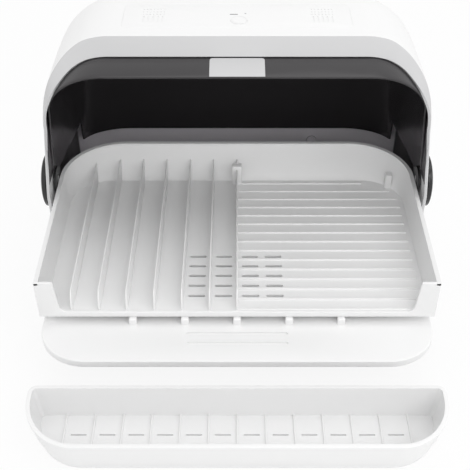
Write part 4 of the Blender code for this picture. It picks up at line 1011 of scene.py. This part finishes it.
def tray_blocks():
    low = TRAY_FLOOR - TRAY_PLATE / 2
    width, length, height = DIVIDER_BLOCK
    rear = tray_reach(0, tray_lean(TRAY_FLOOR)) + TRAY_ROOT
    block = box("block", (-width / 2, rear - length, low), (width / 2, rear, TRAY_FLOOR + height))
    width, length, height = CORNER_POST
    x, y = CORNER_POST_PLACE
    post = box("post", (x, y, low), (x + width, y + length, TRAY_FLOOR + height))
    return [round_edges(block, BLOCK_EDGE), round_edges(post, BLOCK_EDGE)]


def slot_cutters():
    tools = []
    for row in range(SLOT_ROWS):
        depth = SLOT_FIRST_ROW + row * STRIPE_PITCH
        for share in SLOT_COLUMN_SHARES:
            outline = stadium(share * FIN_PITCH, depth, SLOT_WIDTH, SLOT_LENGTH)
            tools.append(prism("slot", outline, TRAY_FLOOR - OVERRUN, TRAY_FLOOR + SLOT_CUT_HEIGHT))
    return tools


# Drawer base

def base_plan(inset):
    return front_rounded(
        BASE_SHELF_HALF_WIDTH - inset,
        BASE_SHELF_FRONT + inset,
        BASE_SHELF_BACK - inset,
        BASE_CORNER_WIDTH - inset,
        BASE_CORNER_DEPTH - inset,
        BASE_REAR_CORNER - inset,
    )


def drawer_shelf():
    shelf = prism("drawer_shelf", base_plan(0), BASE_SHELF_LOW, BASE_SHELF_TOP)
    round_edges(shelf, BASE_EDGE, BASE_EDGE_STEPS)
    plate_low = BASE_SHELF_TOP - BASE_SHELF_PLATE
    cut(shelf, prism("under", base_plan(BASE_SHELF_WALL), BASE_SHELF_LOW - OVERRUN, plate_low))
    for depth in GROOVE_PLACES:
        outline = stadium(0, depth, GROOVE_WIDTH, GROOVE_LENGTH)
        cut(shelf, prism("groove", outline, BASE_SHELF_TOP - GROOVE_DEPTH, BASE_SHELF_TOP + OVERRUN))
    settle(shelf, "drawer", [rack_plastic], ["drawer_base"])
    support_top = TRAY_FLOOR - TRAY_PLATE - GAP
    supports = [
        box(
            "support",
            (x - SUPPORT_WIDTH / 2, SUPPORT_FRONT, plate_low + GAP),
            (x + SUPPORT_WIDTH / 2, BASE_SHELF_BACK - BASE_REAR_CORNER, support_top),
        )
        for x in (-SUPPORT_X, 0, SUPPORT_X)
    ]
    for index in range(RIB_COUNT):
        x = (index - (RIB_COUNT - 1) / 2) * RIB_SPACING
        supports.append(box(
            "rib",
            (x - RIB_WIDTH / 2, -RIB_DEPTH - GAP, plate_low + GAP),
            (x + RIB_WIDTH / 2, RIB_DEPTH, TRAY_LOW - GAP),
        ))
    rounded = [round_edges(support, BASE_EDGE) for support in supports]
    settle(gather("shelf_supports", rounded), "drawer", [rack_plastic])


# Cutlery trough

def box_outline(inset, taper):
    return front_rounded(
        BOX_HALF_WIDTH - inset - taper / 2,
        BOX_BACK - BOX_DEPTH + inset + taper,
        BOX_BACK - inset,
        BOX_CORNER_WIDTH - inset,
        BOX_CORNER_DEPTH - inset,
        BOX_REAR_CORNER - inset,
    )


def trough():
    rim_low = BOX_HEIGHT - BOX_RIM_HEIGHT
    body = loft("cutlery_trough", [
        raised(box_outline(BOX_OVERHANG, BOX_TAPER), 0),
        raised(box_outline(BOX_OVERHANG, BOX_MIDDLE_TAPER), BOX_HEIGHT / 2),
        raised(box_outline(BOX_OVERHANG, 0), BOX_HEIGHT - BOX_RIM_HEIGHT / 2),
    ])
    rim = prism("rim", box_outline(0, 0), rim_low, BOX_HEIGHT)
    join(body, round_edges(rim, BOX_EDGE))
    wall = BOX_OVERHANG + BOX_WALL
    inside = loft("inside", [
        raised(box_outline(wall, BOX_TAPER), BOX_FLOOR),
        raised(box_outline(wall, BOX_MIDDLE_TAPER), BOX_HEIGHT / 2),
        raised(box_outline(wall, 0), rim_low),
        raised(box_outline(wall, 0), BOX_HEIGHT + OVERRUN),
    ])
    cut(body, inside)
    cutters = []
    for bay in range(BOX_RIB_COUNT - 1):
        x = (bay - (BOX_RIB_COUNT - 2) / 2) * BOX_RIB_PITCH
        for place in BOX_SLOT_PLACES:
            depth = BOX_BACK - BOX_DEPTH + place + BOX_SLOT_LENGTH / 2
            outline = stadium(x, depth, BOX_SLOT_WIDTH, BOX_SLOT_LENGTH)
            cutters.append(prism("slot", outline, -OVERRUN, BOX_FLOOR + OVERRUN / 2))
    cut(body, gather("slots", cutters))
    settle(body, "trough", [rack_plastic], ["cutlery_box"])
    ribs = gather("trough_ribs", [trough_rib(index) for index in range(BOX_RIB_COUNT)])
    settle(ribs, "trough", [rack_plastic])


def trough_rib(index):
    front = BOX_BACK - BOX_DEPTH + BOX_TAPER + BOX_OVERHANG + BOX_WALL / 2
    x = (index - (BOX_RIB_COUNT - 1) / 2) * BOX_RIB_PITCH
    beyond = max(abs(x) - (BOX_HALF_WIDTH - BOX_CORNER_WIDTH), 0) / BOX_CORNER_WIDTH
    start = front + BOX_CORNER_DEPTH * (1 - sqrt(max(1 - beyond * beyond, 0))) + BOX_WALL * beyond * 2
    rib = box(
        "rib",
        (x - BOX_RIB_WIDTH / 2, start, BOX_FLOOR / 2),
        (x + BOX_RIB_WIDTH / 2, BOX_BACK - BOX_OVERHANG - BOX_WALL / 2, BOX_FLOOR + BOX_RIB_HEIGHT),
    )
    return round_edges(rib, BOX_RIB_EDGE)


# Materials

def new_material(name):
    material = bpy.data.materials.new(name)
    material.use_nodes = True
    nodes = material.node_tree.nodes
    return material, nodes, material.node_tree.links, nodes["Principled BSDF"]


def noise(nodes, links, place, size, detail):
    """Noise with lumps of one size, in metres."""
    texture = nodes.new("ShaderNodeTexNoise")
    texture.inputs["Scale"].default_value = 1 / size
    texture.inputs["Detail"].default_value = detail
    links.new(place.outputs["Object"], texture.inputs["Vector"])
    return texture


def spread(nodes, links, source, low, high):
    """Stretch a noise's middle part over a range of values."""
    mapped = nodes.new("ShaderNodeMapRange")
    mapped.inputs["From Min"].default_value = NOISE_MIDDLE_SHARES[0]
    mapped.inputs["From Max"].default_value = NOISE_MIDDLE_SHARES[1]
    mapped.inputs["To Min"].default_value = low
    mapped.inputs["To Max"].default_value = high
    links.new(source, mapped.inputs["Value"])
    return mapped.outputs["Result"]


def grained(nodes, links, shader, place, size_and_height, strength=MOULD_STRENGTH):
    """The fine texture of a mould."""
    size, height = size_and_height
    grain = noise(nodes, links, place, size, GRAIN_DETAIL)
    bump = nodes.new("ShaderNodeBump")
    bump.inputs["Distance"].default_value = height
    bump.inputs["Strength"].default_value = strength
    links.new(grain.outputs["Fac"], bump.inputs["Height"])
    links.new(bump.outputs["Normal"], shader.inputs["Normal"])


def moulded(name, colour, roughness, grain=MOULD_GRAIN, tint=CLOUD_TINT):
    """Moulded plastic: faint clouding of its colour and gloss over a fine mould grain."""
    material, nodes, links, shader = new_material(name)
    place = nodes.new("ShaderNodeTexCoord")
    clouds = noise(nodes, links, place, CLOUD_SIZE, CLOUD_DETAIL)
    lowest, highest = roughness - PLASTIC_VARIATION, roughness + PLASTIC_VARIATION
    links.new(spread(nodes, links, clouds.outputs["Fac"], lowest, highest), shader.inputs["Roughness"])
    mixed = nodes.new("ShaderNodeMix")
    mixed.data_type = "RGBA"
    mixed.inputs["A"].default_value = (*(channel * (1 - tint) for channel in colour), 1)
    mixed.inputs["B"].default_value = (*colour, 1)
    links.new(spread(nodes, links, clouds.outputs["Fac"], 0, 1), mixed.inputs["Factor"])
    links.new(mixed.outputs["Result"], shader.inputs["Base Color"])
    grained(nodes, links, shader, place, grain)
    return material


def above_line(nodes, links, place):
    """1 on the black upper part of the hood, 0 below the line across its cheeks."""
    (start_y, start_z), (end_y, end_z) = CHEEK_LINE
    slope = (start_z - end_z) / (end_y - start_y)
    split = nodes.new("ShaderNodeSeparateXYZ")
    links.new(place.outputs["Object"], split.inputs["Vector"])
    height = nodes.new("ShaderNodeMath")
    height.operation = "MULTIPLY_ADD"
    height.inputs[1].default_value = slope
    links.new(split.outputs["Y"], height.inputs[0])
    links.new(split.outputs["Z"], height.inputs[2])
    level = start_z + slope * (start_y + FRONT)
    edge = nodes.new("ShaderNodeMapRange")
    edge.inputs["From Min"].default_value = level - CHEEK_EDGE
    edge.inputs["From Max"].default_value = level + CHEEK_EDGE
    links.new(height.outputs["Value"], edge.inputs["Value"])
    side = nodes.new("ShaderNodeMath")
    side.operation = "ABSOLUTE"
    links.new(split.outputs["X"], side.inputs[0])
    inside = nodes.new("ShaderNodeMath")
    inside.operation = "LESS_THAN"
    inside.inputs[1].default_value = CHEEK_START
    links.new(side.outputs["Value"], inside.inputs[0])
    either = nodes.new("ShaderNodeMath")
    either.operation = "MAXIMUM"
    links.new(edge.outputs["Result"], either.inputs[0])
    links.new(inside.outputs["Value"], either.inputs[1])
    return either.outputs["Value"]


def smoked(name):
    """Polished smoked plastic, nearly black, lighter below a line across the cheeks."""
    material, nodes, links, shader = new_material(name)
    place = nodes.new("ShaderNodeTexCoord")
    mixed = nodes.new("ShaderNodeMix")
    mixed.data_type = "RGBA"
    mixed.inputs["A"].default_value = (*SMOKED_GREY_AND_PAINTED_SHADE, 1)
    mixed.inputs["B"].default_value = (*SMOKED_BLACK, 1)
    links.new(above_line(nodes, links, place), mixed.inputs["Factor"])
    links.new(mixed.outputs["Result"], shader.inputs["Base Color"])
    haze = noise(nodes, links, place, HAZE_SIZE, HAZE_DETAIL)
    links.new(spread(nodes, links, haze.outputs["Fac"], *SMOKED_ROUGHNESS), shader.inputs["Roughness"])
    grained(nodes, links, shader, place, SMOKED_GRAIN, SMOKED_STRENGTH)
    return material


def lining(name, depth, front_colour, back_colour):
    """Plastic of two colours that meet at a depth. On the lining, the dark front colour is painted shade
    on its side walls, and the back wall behind it stays pale.
    """
    material, nodes, links, shader = new_material(name)
    place = nodes.new("ShaderNodeTexCoord")
    split = nodes.new("ShaderNodeSeparateXYZ")
    links.new(place.outputs["Object"], split.inputs["Vector"])
    edge = nodes.new("ShaderNodeMapRange")
    edge.inputs["From Min"].default_value = depth + FRONT - LINING_EDGE
    edge.inputs["From Max"].default_value = depth + FRONT + LINING_EDGE
    links.new(split.outputs["Y"], edge.inputs["Value"])
    mixed = nodes.new("ShaderNodeMix")
    mixed.data_type = "RGBA"
    mixed.inputs["A"].default_value = (*front_colour, 1)
    mixed.inputs["B"].default_value = (*back_colour, 1)
    links.new(edge.outputs["Result"], mixed.inputs["Factor"])
    links.new(mixed.outputs["Result"], shader.inputs["Base Color"])
    haze = noise(nodes, links, place, HAZE_SIZE, CLOUD_DETAIL)
    links.new(spread(nodes, links, haze.outputs["Fac"], *LINING_ROUGHNESS), shader.inputs["Roughness"])
    grained(nodes, links, shader, place, MOULD_GRAIN)
    return material


def metal(name, colour, roughness):
    """Plated or rolled metal with fine streaks."""
    material, nodes, links, shader = new_material(name)
    place = nodes.new("ShaderNodeTexCoord")
    shader.inputs["Base Color"].default_value = (*colour, 1)
    shader.inputs["Metallic"].default_value = 1.0
    streaks = noise(nodes, links, place, STREAK_SIZE, CLOUD_DETAIL)
    lowest, highest = roughness - METAL_VARIATION, roughness + METAL_VARIATION
    links.new(spread(nodes, links, streaks.outputs["Fac"], lowest, highest), shader.inputs["Roughness"])
    grained(nodes, links, shader, place, METAL_GRAIN)
    return material


def lamp_glass(name):
    """Clear tube glass with a faint blue cast."""
    material, nodes, links, shader = new_material(name)
    place = nodes.new("ShaderNodeTexCoord")
    shader.inputs["Base Color"].default_value = (*GLASS_BLUE, 1)
    shader.inputs["Transmission Weight"].default_value = GLASS_TRANSMISSION
    haze = noise(nodes, links, place, GLASS_HAZE_SIZE, GRAIN_DETAIL)
    links.new(spread(nodes, links, haze.outputs["Fac"], *GLASS_ROUGHNESS), shader.inputs["Roughness"])
    return material


def dress_cad_nodes():
    """Materials of the CAD pieces that stay as they are."""
    steel = metal("plated_steel", STEEL_GREY, STEEL_ROUGHNESS)
    reflector = metal("bright_sheet", SHEET_GREY, SHEET_ROUGHNESS)
    rubber = moulded("foot_rubber", RUBBER_BLACK, RUBBER_ROUGHNESS, RUBBER_GRAIN)
    natural = moulded("natural_plastic", NATURAL_WHITE, NATURAL_ROUGHNESS)
    dark = moulded("black_plastic", SOLID_BLACK, BLACK_ROUGHNESS)
    board = moulded("coated_board", BOARD_GREEN, BOARD_ROUGHNESS, BOARD_GRAIN, BOARD_TINT)
    glass = lamp_glass("tube_glass")
    by_slot = {
        "white_shell": white_plastic,
        "rack_white": rack_plastic,
        "smoked_hood": hood_plastic,
        "slide_plastic": natural,
        "steel": steel,
        "rubber": rubber,
        "reflector": reflector,
        "lamp_glass": glass,
        "board": board,
        "black_plastic": dark,
        "lens_grey": lens_plastic,
        "lens_white": mark_plastic,
    }
    for row in frame["record"]["subparts"]:
        node = frame["nodes"][row["node"]]
        node.data.materials.clear()
        node.data.materials.append(by_slot[row["material_slot"]])
    frame["nodes"]["dc_inlet"].data.materials[0] = inlet_plastic


# Surroundings

def world_light():
    world = bpy.data.worlds.new("studio")
    bpy.context.scene.world = world
    world.use_nodes = True
    nodes = world.node_tree.nodes
    links = world.node_tree.links
    background = nodes["Background"]
    background.inputs["Color"].default_value = (1, 1, 1, 1)
    mixed = nodes.new("ShaderNodeMix")
    mixed.data_type = "FLOAT"
    mixed.inputs["A"].default_value = WORLD_LIGHT
    mixed.inputs["B"].default_value = 1.0
    links.new(seen_ray(nodes, links), mixed.inputs["Factor"])
    links.new(mixed.outputs["Result"], background.inputs["Strength"])


def seen_ray(nodes, links):
    """1 for rays from the camera, also through glass or off a gloss."""
    path = nodes.new("ShaderNodeLightPath")
    first = nodes.new("ShaderNodeMath")
    first.operation = "MAXIMUM"
    links.new(path.outputs["Is Camera Ray"], first.inputs[0])
    links.new(path.outputs["Is Glossy Ray"], first.inputs[1])
    second = nodes.new("ShaderNodeMath")
    second.operation = "MAXIMUM"
    links.new(first.outputs["Value"], second.inputs[0])
    links.new(path.outputs["Is Transmission Ray"], second.inputs[1])
    return second.outputs["Value"]


def floor():
    """A pale floor that looks white and keeps the object's shadow."""
    mesh = bmesh.new()
    bmesh.ops.create_grid(mesh, x_segments=1, y_segments=1, size=FLOOR_SIDE / 2)
    ground = sheet_from("floor", mesh)
    material, nodes, links, shader = new_material("floor_white")
    shader.inputs["Base Color"].default_value = (*FLOOR_WHITE, 1)
    shader.inputs["Roughness"].default_value = FLOOR_ROUGHNESS
    shader.inputs["Specular IOR Level"].default_value = 0.0
    glow = nodes.new("ShaderNodeEmission")
    glow.inputs["Strength"].default_value = 1.0
    share = nodes.new("ShaderNodeMath")
    share.operation = "MULTIPLY"
    share.inputs[1].default_value = FLOOR_GLOW_SHARE
    links.new(seen_ray(nodes, links), share.inputs[0])
    mixed = nodes.new("ShaderNodeMixShader")
    links.new(share.outputs["Value"], mixed.inputs["Fac"])
    links.new(shader.outputs["BSDF"], mixed.inputs[1])
    links.new(glow.outputs["Emission"], mixed.inputs[2])
    links.new(mixed.outputs["Shader"], nodes["Material Output"].inputs["Surface"])
    ground.data.materials.append(material)


def lamps():
    for name, place, target, size, power in LAMPS:
        data = bpy.data.lights.new(name, "AREA")
        data.shape = "SQUARE"
        data.size = size
        data.energy = power
        lamp = bpy.data.objects.new(name, data)
        bpy.context.scene.collection.objects.link(lamp)
        lamp.location = place
        lamp.rotation_euler = (Vector(target) - Vector(place)).to_track_quat("-Z", "Y").to_euler()


def camera():
    data = bpy.data.cameras.new("camera")
    data.sensor_width = SENSOR_WIDTH
    data.lens = FOCAL_PIXELS / PICTURE_SIDE * SENSOR_WIDTH
    eye = bpy.data.objects.new("camera", data)
    bpy.context.scene.collection.objects.link(eye)
    eye.location = (CAMERA_X, CAMERA_Y + FRONT, CAMERA_HEIGHT)
    eye.rotation_euler = (pi / 2 - CAMERA_DOWN, 0, 0)
    bpy.context.scene.camera = eye
    bpy.context.scene.view_settings.view_transform = "Standard"


white_plastic = moulded("white_plastic", WHITE, WHITE_ROUGHNESS)
# White plastic painted grey as painted shade, for the front band and the handle
painted_shade_white = moulded("painted_shade_white", BAND_PAINTED_SHADE_GREY, BAND_ROUGHNESS)
rack_plastic = moulded("rack_plastic", RACK_WHITE, RACK_ROUGHNESS)
# The lining is painted dark in front of the split depth, as painted shade on its side walls; its back
# wall stays pale
lining_with_painted_shade = lining("inner_lining", LINING_SHADE_END, SMOKED_GREY_AND_PAINTED_SHADE, INNER_GREY)
inlet_plastic = lining("inlet_plastic", INLET_SPLIT, INNER_GREY, CAP_BLACK)
lens_plastic = moulded("lens_plastic", LENS_GREY, LENS_ROUGHNESS)
cap_plastic = moulded("cap_plastic", CAP_BLACK, CAP_ROUGHNESS, CAP_GRAIN)
mark_plastic = moulded("mark_plastic", MARK_GREY, MARK_ROUGHNESS)
hood_plastic = smoked("smoked_plastic")

housing()
roof_panel()
power_cap()
hood()
handle()
pivot_caps()
rack()
drawer_shelf()
trough()
dress_cad_nodes()
world_light()
floor()
lamps()
camera()
